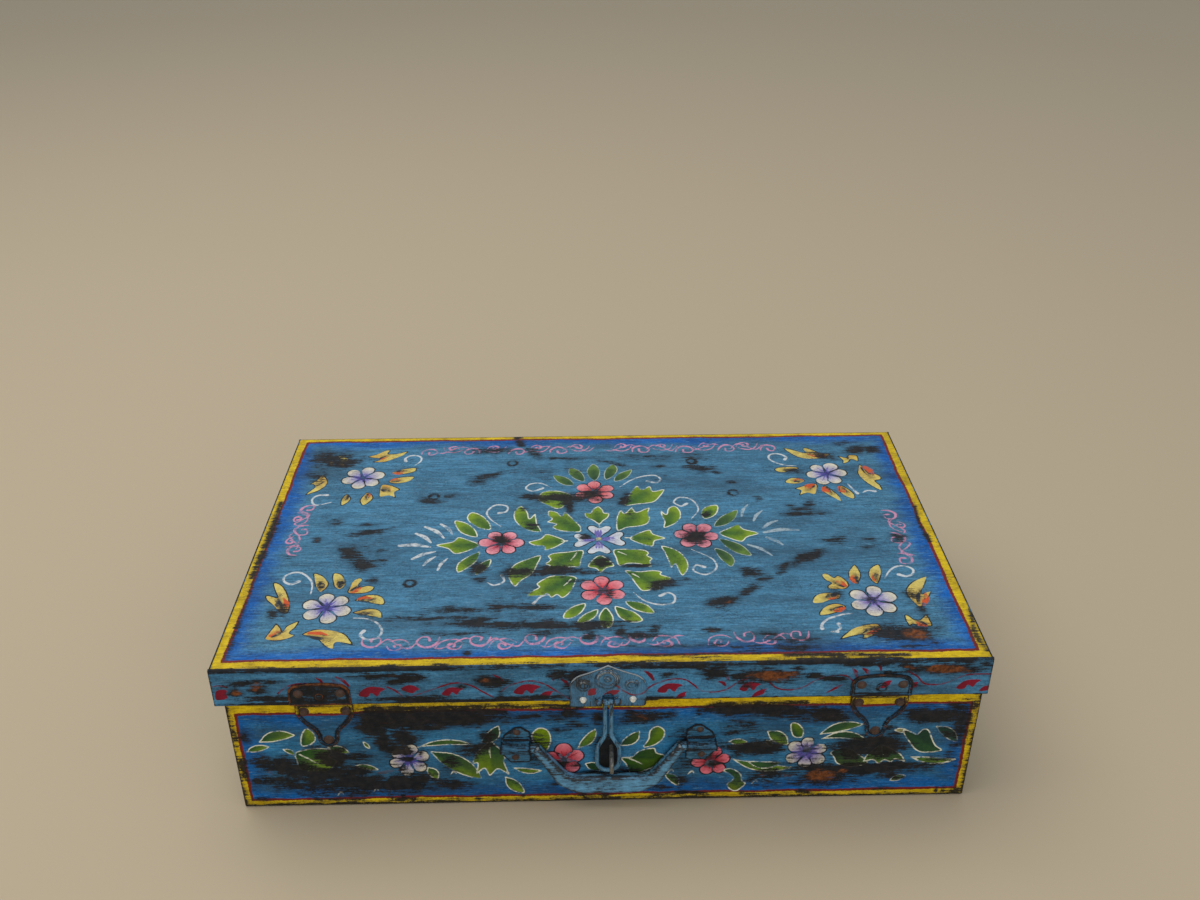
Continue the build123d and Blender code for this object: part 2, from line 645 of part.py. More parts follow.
with BuildPart() as catch_lower_rivets:
    for cx in catch_lower_x:
        for lx, lz in ((cx - 16.5, 105.5), (cx + 16.5, 105.5), (cx, 75.5)):
            with BuildSketch(Plane.XZ.offset(front + 1.2)):
                with Locations((lx, lz)):
                    Circle(4.3)
            extrude(amount=2.1, taper=38)
            with BuildSketch(Plane.XZ.offset(front + 1.2)):
                with Locations((lx, lz)):
                    Circle(2.0)
            extrude(amount=-(1.2 + sheet))
            with BuildSketch(Plane.XZ.offset(front - sheet)):
                with Locations((lx, lz)):
                    Circle(3.0)
            extrude(amount=-0.8)
catch_lower_rivets.part.label = "catch_lower_rivets"
export_step(catch_lower_rivets.part, "parts/catch_lower_rivets.step")
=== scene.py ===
# Looks for the small painted tin trunk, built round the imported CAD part.
# Lengths in the drawing code are millimetres; Blender objects are in metres.
import json
import math

import bmesh
import bpy
import numpy as np
from mathutils import Matrix, Vector

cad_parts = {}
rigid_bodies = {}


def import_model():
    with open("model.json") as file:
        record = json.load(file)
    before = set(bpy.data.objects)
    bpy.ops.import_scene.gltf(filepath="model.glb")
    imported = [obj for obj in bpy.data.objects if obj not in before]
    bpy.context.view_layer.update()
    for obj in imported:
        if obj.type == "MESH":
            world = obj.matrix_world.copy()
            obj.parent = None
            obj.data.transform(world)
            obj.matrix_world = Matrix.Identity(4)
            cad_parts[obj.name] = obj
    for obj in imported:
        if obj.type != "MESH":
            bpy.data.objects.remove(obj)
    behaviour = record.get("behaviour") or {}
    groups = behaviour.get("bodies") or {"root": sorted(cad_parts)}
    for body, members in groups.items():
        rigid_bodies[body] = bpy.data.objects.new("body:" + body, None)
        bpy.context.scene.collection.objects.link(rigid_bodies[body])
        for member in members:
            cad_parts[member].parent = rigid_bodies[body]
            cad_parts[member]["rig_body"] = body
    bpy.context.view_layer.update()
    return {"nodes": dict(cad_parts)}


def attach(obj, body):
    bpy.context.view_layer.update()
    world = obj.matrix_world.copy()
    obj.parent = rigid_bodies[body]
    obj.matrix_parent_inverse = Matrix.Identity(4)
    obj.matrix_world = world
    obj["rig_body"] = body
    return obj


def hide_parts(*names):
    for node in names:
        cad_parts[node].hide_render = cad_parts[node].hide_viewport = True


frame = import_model()
scene = bpy.context.scene

# ------------------------------------------------------------------ sizes, mm
LX0, LX1 = -307.0, 303.0          # lid, left and right
LY = 181.0                        # lid, half depth
LZ = 151.0                        # lid, upper face
FZ = 114.5                        # lid, lower edge
BX = 301.0                        # body, half width
BY = 177.0                        # body, half depth
BZ = 149.3                        # body, top of the rolled rim
BEND = 2.0
SHEET = 0.7


# ------------------------------------------------------------------ helpers
def lin(c):
    """sRGB 0-255 to linear."""
    c = np.asarray(c, float) / 255
    return np.where(c <= 0.04045, c / 12.92, ((c + 0.055) / 1.055) ** 2.4)


def paint(c, gain=1.06):
    """A paint's albedo, from the shade it has under the studio light."""
    return np.clip(lin(c) * gain, 0, 0.86)


def rng(seed):
    return np.random.default_rng(seed)


def smooth_noise(shape, cell, seed, octaves=3, stretch=(1, 1)):
    """Value noise from 0 to 1 on a grid, cell given in grid steps (rows, columns stretched)."""
    r = rng(seed)
    out = np.zeros(shape)
    amp, total = 1.0, 0.0
    for k in range(octaves):
        cy, cx = max(2.0, cell * stretch[0] / 2**k), max(2.0, cell * stretch[1] / 2**k)
        ny, nx = int(shape[0] / cy) + 4, int(shape[1] / cx) + 4
        g = r.random((ny, nx))
        y = np.arange(shape[0]) / cy + 0.5
        x = np.arange(shape[1]) / cx + 0.5
        iy, ix = y.astype(int), x.astype(int)
        fy, fx = y - iy, x - ix
        fy, fx = fy * fy * (3 - 2 * fy), fx * fx * (3 - 2 * fx)
        a = g[np.ix_(iy, ix)] * (1 - fx) + g[np.ix_(iy, ix + 1)] * fx
        b = g[np.ix_(iy + 1, ix)] * (1 - fx) + g[np.ix_(iy + 1, ix + 1)] * fx
        out += amp * (a * (1 - fy[:, None]) + b * fy[:, None])
        total += amp
        amp *= 0.55
    return out / total


def step(a, b, x):
    t = np.clip((x - a) / (b - a), 0, 1)
    return t * t * (3 - 2 * t)


def curve(points, closed=False, n=8):
    """Catmull-Rom curve through points."""
    p = np.asarray(points, float)
    if closed:
        q = np.vstack([p[-1], p, p[0], p[1]])
    else:
        q = np.vstack([2 * p[0] - p[1], p, 2 * p[-1] - p[-2]])
    out = []
    t = np.linspace(0, 1, n, endpoint=False)[:, None]
    for i in range(1, len(q) - 2):
        a, b, c, d = q[i - 1], q[i], q[i + 1], q[i + 2]
        out.append(0.5 * (2 * b + (c - a) * t + (2 * a - 5 * b + 4 * c - d) * t**2 + (3 * b - a - 3 * c + d) * t**3))
    out = np.vstack(out)
    return out if closed else np.vstack([out, p[-1]])


# ------------------------------------------------------------------ painting
class Canvas:
    """A painted panel: per-vertex paint layers, each with a signed distance to
    its edge in millimetres, so that edges stay crisp between the vertices."""

    def __init__(self, xs, ys):
        self.xs, self.ys = np.asarray(xs, float), np.asarray(ys, float)
        self.X, self.Y = np.meshgrid(self.xs, self.ys)
        n = self.X.shape
        self.fill = np.zeros(n + (3,))
        self.sd = np.full(n, -9.0)
        self.rim = np.zeros(n + (3,))
        self.rw = np.zeros(n)
        self.top = np.zeros(n + (3,))
        self.td = np.full(n, -9.0)
        self.ground = np.zeros(n + (3,))
        self.yellow = np.full(n, -9.0)
        self.red = np.full(n, -9.0)
        # wear also carries one patch of painted shade on the body front, behind the hasp loop's eye
        self.wear = np.zeros(n)
        self.rust = np.zeros(n)
        self.haze = np.zeros(n)
        self.shift = None         # moves every motif drawn: points in, points out

    def moved(self, pts):
        pts = np.asarray(pts, float)
        return pts if self.shift is None else self.shift(pts)

    def window(self, pts, pad):
        lo, hi = pts.min(0) - pad, pts.max(0) + pad
        i0, i1 = np.searchsorted(self.xs, [lo[0], hi[0]])
        j0, j1 = np.searchsorted(self.ys, [lo[1], hi[1]])
        return (slice(j0, j1), slice(i0, i1)) if i1 > i0 and j1 > j0 else None

    def _inside(self, pts, w):
        X, Y = self.X[w], self.Y[w]
        d = np.full(X.shape, 1e9)
        s = np.zeros(X.shape, bool)
        n = len(pts)
        for i in range(n):
            a, b = pts[i], pts[(i + 1) % n]
            e = b - a
            L = e @ e
            if L < 1e-9:
                continue
            px, py = X - a[0], Y - a[1]
            t = np.clip((px * e[0] + py * e[1]) / L, 0, 1)
            d = np.minimum(d, (px - t * e[0]) ** 2 + (py - t * e[1]) ** 2)
            c = (a[1] <= Y) != (b[1] <= Y)
            if c.any():
                with np.errstate(divide="ignore", invalid="ignore"):
                    xi = a[0] + (Y - a[1]) / (b[1] - a[1]) * e[0]
                s ^= c & (X < xi)
        d = np.sqrt(d)
        return np.where(s, d, -d)

    def shape(self, pts, base, tip, axis, rim=None, rw=1.0, dark=None, heart=None):
        """A filled shape. Its colour runs from base to tip along axis (two points);
        dark shades the half to the left of the axis; rim is the outline's colour;
        heart is a soft inner shade: (point, point, radius, colour, amount)."""
        pts = self.moved(pts)
        w = self.window(pts, 4)
        if w is None:
            return
        width = rw if rim is not None else 0.0
        d = self._inside(pts, w) - width * 0.9
        a, b = self.moved(np.array([axis[0], axis[1]], float))
        e = b - a
        L = max(1e-6, e @ e)
        X, Y = self.X[w] - a[0], self.Y[w] - a[1]
        t = np.clip((X * e[0] + Y * e[1]) / L, 0, 1)[..., None]
        col = paint(base) * (1 - t) + paint(tip) * t
        if dark is not None:
            side = (e[0] * Y - e[1] * X) / math.sqrt(L)
            k = (step(-1.5, 2.5, side) * 0.85)[..., None] * (1 - 0.5 * t)
            col = col * (1 - k) + paint(dark) * k
        if heart is not None:
            h0, h1 = self.moved(np.array([heart[0], heart[1]], float))
            g = h1 - h0
            u, v = self.X[w] - h0[0], self.Y[w] - h0[1]
            q = np.clip((u * g[0] + v * g[1]) / max(1e-6, g @ g), 0, 1)
            k = np.exp(-((u - q * g[0]) ** 2 + (v - q * g[1]) ** 2) / heart[2] ** 2)[..., None] * heart[4]
            col = col * (1 - k) + paint(heart[3]) * k
        rimc = paint(rim) if rim is not None else col
        over = d > -width
        out = (~over) & (d > self.sd[w]) & (self.sd[w] < -self.rw[w])
        m = over | out
        self.sd[w][m] = d[m]
        self.fill[w][m] = col[m]
        self.rim[w][m] = rimc if rim is not None else col[m]
        self.rw[w][m] = width
        # new paint covers strokes that were there
        self.td[w][over] = np.minimum(self.td[w][over], -3)

    def stroke(self, pts, widths, colour, n=7, raw=False):
        """A brush stroke through points; widths are half widths along it."""
        p = self.moved(pts) if raw else self.moved(curve(pts, n=n))
        ws = np.interp(np.linspace(0, 1, len(p)), np.linspace(0, 1, len(np.atleast_1d(widths))), np.atleast_1d(widths))
        w = self.window(p, 4)
        if w is None:
            return
        X, Y = self.X[w], self.Y[w]
        d = np.full(X.shape, -9.0)
        for i in range(len(p) - 1):
            a, e = p[i], p[i + 1] - p[i]
            L = e @ e
            if L < 1e-9:
                continue
            px, py = X - a[0], Y - a[1]
            t = np.clip((px * e[0] + py * e[1]) / L, 0, 1)
            r = ws[i] * (1 - t) + ws[i + 1] * t
            d = np.maximum(d, r - np.sqrt((px - t * e[0]) ** 2 + (py - t * e[1]) ** 2))
        m = d > np.maximum(self.td[w], -3) if False else (d > self.td[w]) | (d > 0)
        self.td[w][m] = d[m]
        self.top[w][m] = paint(colour)

    def dot(self, x, y, r, colour):
        self.stroke([(x - 0.01, y), (x + 0.01, y)], [r, r], colour, raw=True)

    def spot(self, field, x, y, rx, ry, angle=0.0, amount=1.0, power=1.0):
        """Adds a soft elliptical patch to the wear, rust or haze field."""
        f = getattr(self, field)
        c, s = math.cos(math.radians(angle)), math.sin(math.radians(angle))
        R = 1.7 * max(rx, ry)
        w = self.window(np.array([[x - R, y - R], [x + R, y + R]]), 1)
        if w is None:
            return
        X, Y = self.X[w] - x, self.Y[w] - y
        u, v = (X * c + Y * s) / rx, (-X * s + Y * c) / ry
        g = np.exp(-((u * u + v * v) ** power) * 1.1) * amount
        f[w] = np.maximum(f[w], g) if amount > 0 else f[w]

    def streak(self, field, pts, r, amount=1.0):
        """A soft smear along a line."""
        p = curve(pts, n=5)
        f = getattr(self, field)
        w = self.window(p, r * 2.2)
        if w is None:
            return
        X, Y = self.X[w], self.Y[w]
        d = np.full(X.shape, 1e9)
        for i in range(len(p) - 1):
            a, e = p[i], p[i + 1] - p[i]
            L = e @ e
            if L < 1e-9:
                continue
            px, py = X - a[0], Y - a[1]
            t = np.clip((px * e[0] + py * e[1]) / L, 0, 1)
            d = np.minimum(d, (px - t * e[0]) ** 2 + (py - t * e[1]) ** 2)
        f[w] = np.maximum(f[w], np.exp(-d / r**2) * amount)


# Motif brushes ------------------------------------------------------------
CREAM = (226, 224, 200)
WHITE = (202, 206, 206)
INK = (24, 26, 30)
GREEN_DARK, GREEN, LIME = (38, 84, 38), (82, 118, 30), (122, 148, 32)
DEEP_GREEN = (22, 62, 44)
PINK, ROSE, CORAL, WINE = (212, 128, 140), (196, 74, 96), (204, 84, 84), (104, 30, 44)
SCROLL = (205, 140, 170)
LILAC, VIOLET = (132, 112, 176), (86, 78, 160)
PALE_YELLOW, OCHRE, ORANGE = (208, 188, 100), (204, 172, 66), (190, 88, 44)
CRIMSON = (112, 16, 34)


def lobed(cv, base, tips, fat=0.30, notch=0.42, base_c=GREEN_DARK, tip_c=LIME, dark=DEEP_GREEN, rim=CREAM, rw=1.1, vein=True):
    """A leaf with pointed lobes, listed in order round the leaf."""
    b = np.asarray(base, float)
    T = [np.asarray(t, float) for t in tips]
    mid = np.mean(T, axis=0)
    ax = mid - b
    L = np.linalg.norm(ax)
    pts = [b]
    first, last = T[0] - b, T[-1] - b
    turn = np.sign(first[0] * last[1] - first[1] * last[0]) or 1.0

    def across(v, k):
        return np.array([v[1], -v[0]]) * turn * k

    pts.append(b + first * 0.30 + across(first, fat * 0.55))
    pts.append(b + first * 0.68 + across(first, fat * 0.72))
    for i, t in enumerate(T):
        v = t - b
        pts.append(t)
        if i < len(T) - 1:
            m = (t + T[i + 1]) / 2
            back = b + (m - b) * (1 - notch * (0.55 if len(T) > 2 else 0.8))
            pts.append(t * 0.60 + back * 0.40)
            pts.append(back)
            pts.append(T[i + 1] * 0.60 + back * 0.40)
    pts.append(b + last * 0.68 - across(last, fat * 0.72))
    pts.append(b + last * 0.30 - across(last, fat * 0.55))
    cv.shape(curve(pts, closed=True, n=5), base_c, tip_c, (b, b + ax), rim=rim, rw=rw, dark=dark)
    if vein:
        cv.stroke([b + ax * 0.08, b + ax * 0.34 + across(ax, 0.02), b + ax * 0.58], [0.75, 0.6, 0.35], CREAM)


def leaf(cv, pts, base, tip_c=(126, 152, 30), base_c=(84, 122, 30), heart_c=(30, 78, 36), rim=CREAM, rw=1.1, size=None, amount=0.9):
    """A leaf from its outline: bright green, darker softly along its middle."""
    p = np.asarray(pts, float)
    b, c = np.asarray(base, float), np.mean(pts, axis=0)
    e = c - b
    r = size or 0.34 * np.linalg.norm(e)
    cv.shape(curve(p, closed=True, n=4), base_c, tip_c, (b, c + e * 0.35), rim=rim, rw=rw, heart=(b + e * 0.25, c + e * 0.1, r, heart_c, amount * 0.8))


def sprig(cv, pts, base, seed=0, core=1.0, orange=1.0, rw=1.1):
    """A pale yellow leaf with an orange foot and a dark middle, outlined in ink."""
    r = rng(seed)
    p = np.asarray(pts, float)
    b, c = np.asarray(base, float), np.mean(pts, axis=0)
    e = c - b
    n = np.array([-e[1], e[0]])
    k = r.choice([-1, 1])
    cv.shape(curve(p, closed=True, n=4), (198, 160, 70), PALE_YELLOW, (b, c + e * 0.5), rim=INK, rw=rw, heart=(b + e * 0.4, b + e * 1.05, 2.4, (70, 66, 58), 0.5))
    if orange:
        cv.stroke([b + e * 0.20 + n * 0.12 * k, b + e * 0.55 + n * 0.20 * k, b + e * 0.95 + n * 0.16 * k], [1.5 * orange, 2.3 * orange, 0.5], (202, 84, 40))
    if core:
        cv.stroke([b + e * 0.22 - n * 0.04 * k, b + e * 0.62 - n * 0.08 * k, b + e * 1.02], [1.2, 2.2 * core, 0.4], (40, 46, 54))
        for _ in range(3):
            t, o_ = r.uniform(0.5, 1.1), r.uniform(-0.22, 0.22)
            cv.stroke([b + e * t + n * o_, b + e * (t + 0.25) + n * (o_ * 0.9)], [0.5, 0.25], (64, 62, 56))


def blade(cv, base, tip, width, bow=0.0, base_c=GREEN_DARK, tip_c=LIME, dark=DEEP_GREEN, rim=CREAM, rw=1.0, blunt=0.0):
    """A simple pointed leaf, bowed sideways."""
    b, t = np.asarray(base, float), np.asarray(tip, float)
    e = t - b
    n = np.array([-e[1], e[0]]) / max(1e-6, np.linalg.norm(e))
    u = np.array([0, 0.1, 0.28, 0.5, 0.72, 0.9, 1.0])
    w = np.array([0.0, 0.32, 0.82, 1.0, 0.85, 0.42 + 0.3 * blunt, 0.0]) * width / 2
    c = b + u[:, None] * e + (bow * 4 * u * (1 - u))[:, None] * n
    pts = np.vstack([c + w[:, None] * n, (c - w[:, None] * n)[-2:0:-1]])
    cv.shape(curve(pts, closed=True, n=5), base_c, tip_c, (b, t), rim=rim, rw=rw, dark=dark)


def flower(cv, x, y, R, n=6, rot=0.0, base=ROSE, tip=PINK, rim=INK, rw=1.25, fat=1.0, heart=0.0, seed=0):
    """Round petals side by side, each with its own outline."""
    r = rng(seed)
    order = list(range(0, n, 2)) + list(range(1, n, 2))
    for k in order:
        a = rot + k * 2 * math.pi / n + r.uniform(-0.08, 0.08)
        L = R * r.uniform(0.95, 1.04)
        if heart:
            W = fat * L * 0.62
            up = [(0.10, 0.07), (0.34, 0.30), (0.58, 0.62), (0.80, 0.80), (0.97, 0.66), (0.98, 0.34), (0.84, 0.0)]
            up = [(u * L, v * W) for u, v in up]
        else:
            q = L * math.sin(math.pi / n) / (1 + math.sin(math.pi / n)) * 1.04 * fat
            up = [(0.10 * L, 0.10 * q), (0.32 * L, 0.52 * q)]
            up += [(L - q + q * math.cos(t), q * math.sin(t) * r.uniform(0.95, 1.05)) for t in np.radians([112, 86, 60, 36, 14])]
        loop = [(0.03 * L, 0.0)] + up + [(u, -v) for u, v in up[::-1] if v > 0]
        c, s = math.cos(a), math.sin(a)
        pts = np.array([(x + u * c - v * s, y + u * s + v * c) for u, v in loop])
        cv.shape(curve(pts, closed=True, n=4), base, tip, ((x + 0.25 * L * c, y + 0.25 * L * s), (x + 0.85 * L * c, y + 0.85 * L * s)), rim=rim, rw=rw)


def rays(cv, x, y, r0, r1, n, colour, w=0.7, rot=0.0, seed=1, jitter=0.4):
    r = rng(seed)
    for k in range(n):
        a = rot + (k + r.uniform(-jitter, jitter)) * 2 * math.pi / n
        b = r1 * r.uniform(0.55, 1.1)
        cv.stroke([(x + r0 * math.cos(a), y + r0 * math.sin(a)), (x + b * math.cos(a + 0.06), y + b * math.sin(a + 0.06))],
                  [w, w * 0.5], colour, n=3)


def spiral(cv, x, y, r, start, turns, grow, width, colour, tail=None):
    """A C-scroll: a curl round (x, y), opening outwards, then an optional tail point."""
    n = 9
    a = np.linspace(0, 1, n)
    ang = start + turns * 2 * math.pi * a
    rad = r * (0.35 + (grow - 0.35) * a)
    pts = [(x + q * math.cos(t), y + q * math.sin(t)) for q, t in zip(rad, ang)]
    if tail is not None:
        pts.append(tail)
    cv.stroke(pts, [width * 1.5, width * 1.2, width, width * 0.55], colour, n=4)
# ------------------------------------------------------------------ lid top
def bands(cv, x0, x1, y0, y1, yl, yr, yb, yt, seed, red=2.6, deep=13, field=(58, 111, 141), deep_c=(0, 84, 158), lo=0.9):
    """Yellow border, maroon pinstripe and the deep blue edge fading into the field."""
    n = cv.X.shape
    wob = (smooth_noise(n, 26, seed, 3) - 0.5) * 2.6
    wob2 = (smooth_noise(n, 16, seed + 1, 2) - 0.5) * 1.4
    left, right = cv.X - x0 - yl, x1 - yr - cv.X
    low, high = cv.Y - y0 - yb, y1 - yt - cv.Y
    inner = np.minimum(np.minimum(left, right), np.minimum(low, high))
    cv.yellow = -(inner + wob * lo)
    cv.red = -(inner - red + wob * lo + wob2)
    fade = step(0, 1, (inner - red + (smooth_noise(n, 12, seed + 2, 4, (1, 3)) - 0.5) * 18) / (deep * 1.5))[..., None]
    var = smooth_noise(n, 60, seed + 3, 4, (1, 2.2))[..., None]
    mid = paint(field) * (0.86 + 0.30 * var)
    teal = smooth_noise(n, 40, seed + 4, 3, (1, 3))[..., None]
    mid = mid * (1 - 0.35 * teal) + paint((74, 118, 140)) * (0.35 * teal)
    cv.ground = paint(deep_c) * (0.8 + 0.4 * var) * (1 - fade) + mid * fade


def lid_top():
    p = 1.0
    cv = Canvas(np.arange(LX0 + BEND, LX1 - BEND + 0.01, p), np.arange(-LY + BEND, LY - BEND + 0.01, p))
    bands(cv, LX0, LX1, -LY, LY, 8.5, 8.5, 9.6, 6.5, 11)
    # leaves round the middle flower, each drawn from its outline
    for base, pts, dark in (
            ((-19, 3), [(-19, 3), (-29, 3.5), (-39, 6.5), (-44, 12), (-40.5, 16), (-48, 19.5), (-48, 21), (-44.5, 25), (-48, 31), (-47.5, 39), (-40, 36.5), (-35.5, 30), (-32.5, 36.5), (-28, 30), (-23.5, 22), (-19.5, 15), (-17.5, 9)], 0.9),
            ((16, 4), [(16, 4), (14.5, 12), (15.5, 26), (19.5, 38.5), (23, 32.5), (30, 42.5), (34, 34.5), (46, 42), (45, 33), (46, 22), (42, 14), (33, 10.5), (24, 9)], 0.9),
            ((-1, 15), [(-1, 15), (-6.5, 21), (-12, 26), (-14, 30), (-13.5, 35), (-9, 34), (-6.5, 40), (-1.5, 45), (2.5, 39.5), (4, 34), (8.5, 33), (7.5, 26.5), (3, 20.5)], 0.8),
            ((-32, -11), [(-32, -11), (-40, -4), (-49.5, 0), (-54, -7), (-64.5, -12), (-59, -17.5), (-51, -19), (-49.5, -25), (-43, -22.5), (-37, -17.5)], 0.9),
            ((26, -8), [(26, -8), (33, -1), (44.5, 5), (47.5, -2), (58, -9), (48.5, -13), (46, -21.5), (38, -19), (30, -13.5)], 0.9),
            ((-17, -27), [(-16, -26.5), (-29, -28), (-42, -30), (-47, -34), (-45, -40), (-49, -46), (-45.5, -49), (-48.5, -55), (-46, -57.5), (-37, -53), (-25, -51), (-19.5, -51.5), (-17.5, -40)], 1.0),
            ((12, -26), [(11, -26), (25, -25), (38, -27), (42, -32), (40.5, -35.5), (44.5, -40), (42.5, -44.5), (43, -53), (33, -48), (23, -47), (15, -50), (12.5, -38)], 0.8),
            ((-1.4, -34), [(-1.4, -34), (-9, -42), (-12, -51), (-5, -54), (-1.4, -60), (4, -53), (11, -50), (5.5, -40)], 1.0),
            ((-55, 5), [(-54, 4), (-58, 18), (-60, 34), (-65, 26), (-67, 36), (-70, 43), (-74.5, 48), (-79.5, 38), (-79.5, 28), (-76, 18), (-68, 8)], 0.8),
            ((59, 9), [(58, 8), (59, 18), (57, 27), (57, 36), (61.5, 30), (64, 40), (70, 44), (74.5, 37), (74.5, 25), (69, 15)], 0.9),
            ((-54, -33), [(-53.5, -33), (-68, -40), (-77, -48), (-80.5, -60), (-79, -70), (-74, -78), (-69, -70), (-60, -60), (-56, -47)], 0.9),
            ((55, -22), [(54, -21), (67, -28), (74.5, -42), (74.5, -56), (69, -66), (66, -58), (64, -49), (60, -54), (58, -42), (56, -32)], 0.7),
            # of the lower flower
            ((-24, -68), [(-22.5, -66), (-34, -63), (-44, -64), (-51, -69), (-56, -75), (-54, -80), (-61, -86), (-63, -92), (-50, -91.5), (-47, -89), (-43, -94.5), (-38.5, -90.5), (-34, -95), (-27.5, -88), (-23.5, -76)], 1.0),
            ((24, -60), [(20, -57), (32, -59), (44, -57.5), (51.5, -60), (50.5, -64), (59, -69), (54, -75), (49, -77), (48, -86), (42, -82.5), (40, -86), (33, -86.5), (28.5, -78), (24, -66)], 0.9),
            ((-15, -103), [(-14.5, -103), (-24, -106), (-31, -113), (-33, -122), (-25, -122), (-17.5, -114)], 0.7),
            ((-5, -110), [(-4.5, -111), (-13, -115), (-19, -121), (-22, -129), (-13, -127), (-6, -120)], 0.8),
            ((2, -109), [(2, -109), (-3.5, -118), (-4, -127), (-1, -135), (5, -135), (8, -127), (7, -118)], 0.9),
            ((11, -107), [(10, -107), (20, -112), (27, -117), (32, -127), (22, -129), (14, -124), (10.5, -116)], 1.0),
            ((19, -101), [(18.5, -100.5), (30, -102), (38, -108), (42, -117.5), (32, -116), (23, -110)], 0.9),
            # of the upper flower
            ((25, 47), [(24, 46), (24.5, 56), (28, 64), (32, 74), (37, 80.5), (41, 74), (49, 79.5), (51.5, 70.5), (62.5, 73.5), (57, 60), (50, 51), (35, 48)], 0.9),
            ((-25, 60), [(-24, 62), (-30, 52), (-38, 42), (-50, 49), (-58, 60), (-54, 72), (-42, 74), (-31, 70)], 0.9),
            ((-25, 84), [(-24, 84), (-33, 84), (-41, 92), (-44, 103), (-34, 100), (-27, 93)], 0.8),
            ((-15, 91), [(-14, 90), (-23, 95), (-29, 105), (-28, 116), (-20, 112), (-14.5, 102)], 0.8),
            ((-4, 92), [(-4, 91), (-10, 100), (-11, 112), (-5, 123), (1, 114), (1, 101)], 0.9),
            ((8, 94), [(7, 93), (5.5, 104), (9, 116), (15, 122), (19, 112), (15, 100)], 0.8),
            ((16, 92), [(15, 90), (17, 100), (24, 107), (33, 111), (30, 100), (23, 92)], 0.7),
            # outer leaves, left and right
            ((-100, 10), [(-100, 9), (-110, 11), (-119, 20), (-123, 30), (-119, 38), (-110, 33), (-102, 21)], 0.8),
            ((-111, -3), [(-111, -3), (-121, 0), (-129, 8), (-134, 24), (-124, 21), (-115, 11)], 0.8),
            ((-98, -38), [(-97, -38), (-104, -42), (-110, -52), (-108, -61), (-100, -53), (-97, -46)], 1.0),
            ((-108, -26), [(-108, -26), (-120, -36), (-126, -46), (-124, -57), (-114, -48), (-108, -37)], 0.9),
            ((-108, -16), [(-108, -16), (-118, -8), (-128, -3), (-133, -10), (-147, -15), (-136, -21), (-129, -29), (-118, -25)], 0.9),
            ((97, 24), [(96, 22), (94, 33), (99, 42), (110, 45), (110, 35), (105, 26)], 1.0),
            ((105, 10), [(104, 9), (108, 20), (116, 29), (128, 36), (125, 23), (116, 12)], 0.8),
            ((108, -2), [(107, -2), (117, 6), (126, 12), (130, 4), (143, -3), (132, -9), (126, -16), (116, -11)], 0.9),
            ((107, -12), [(106, -11), (117, -15), (127, -24), (132, -38), (120, -34), (111, -24)], 0.9),
            ((101, -26), [(100.5, -26), (108, -29), (115, -38), (116, -47), (112, -54), (106, -46), (102, -36)], 0.9)):
        if base[1] > 80 or (base[0] > 100 and abs(base[1]) > 5):      # these have faded
            leaf(cv, pts, base, (92, 122, 48), (58, 92, 46), (24, 60, 40), rim=(176, 184, 168), rw=0.8, amount=dark)
        else:
            leaf(cv, pts, base, amount=dark)
    for a, b in (((-1, 15), (-1, 8)), ((-30, -11), (-36, -11.5)), ((22, -7), (30, -8.5)), ((-22, -30), (-27, -41)), ((15, -29), (22, -34)), ((-27, -69), (-33, -78)), ((26, -62), (32, -68))):
        cv.stroke([a, ((a[0] + b[0]) / 2 + 0.4, (a[1] + b[1]) / 2), b], [0.8, 0.65, 0.35], CREAM)
    # flowers
    flower(cv, -89, -13, 20.5, 6, 0.0, ROSE, (226, 150, 158), seed=1)
    flower(cv, 86, -5, 21.5, 6, -0.09, (176, 84, 104), (214, 136, 146), seed=2)
    flower(cv, -4, 71, 20.5, 6, 0.5, CORAL, (222, 136, 140), seed=3)
    flower(cv, 0, -85.5, 21, 6, 0.52, (206, 66, 74), (222, 138, 146), seed=4)
    flower(cv, -2, -10, 23.5, 4, 0.02, (176, 176, 206), WHITE, heart=1, seed=5)
    for (x, y), s in (((-229, -104), 6), ((225, -105.5), 7), ((-230, 102.5), 8), ((223, 98.7), 9)):
        flower(cv, x, y, 21.5, 6, {6: 0.74, 7: 0.36, 8: 0.33, 9: 0.03}[s], (146, 142, 190), (208, 200, 178), seed=s)
        rays(cv, x, y, 1.5, 13, 17, VIOLET if s != 7 else LILAC, 0.8, seed=s)
        rays(cv, x, y, 0.5, 6, 9, (62, 54, 130), 0.8, seed=s + 50)
        cv.dot(x + 1, y, 1.6, (58, 46, 110) if s != 7 else (62, 66, 80))
    for x, y, s, c in ((-89, -13, 21, (60, 40, 52)), (85.5, -4.3, 22, (48, 38, 48)), (-4, 71, 23, (70, 40, 46)), (0, -85.5, 24, (96, 66, 88))):
        rays(cv, x, y, 5, 14, 18, (168, 46, 68), 0.55, seed=s + 40)
        rays(cv, x, y, 0.8, 8.5, 11, c, 0.9, seed=s)
        cv.dot(x, y, 3.0, c)
    for k in range(4):
        a = 0.02 + k * math.pi / 2
        for o_ in (-0.22, 0.0, 0.22):
            cv.stroke([(-2 + 4 * math.cos(a + o_ * 2), -9 + 4 * math.sin(a + o_ * 2)), (-2 + 10 * math.cos(a + o_), -9 + 10 * math.sin(a + o_)), (-2 + 15 * math.cos(a + o_ * 0.8), -9 + 15 * math.sin(a + o_ * 0.8))], [0.8, 1.3, 0.4], (106, 98, 168), n=4)
    cv.dot(-2, -9, 2.6, (216, 196, 120))
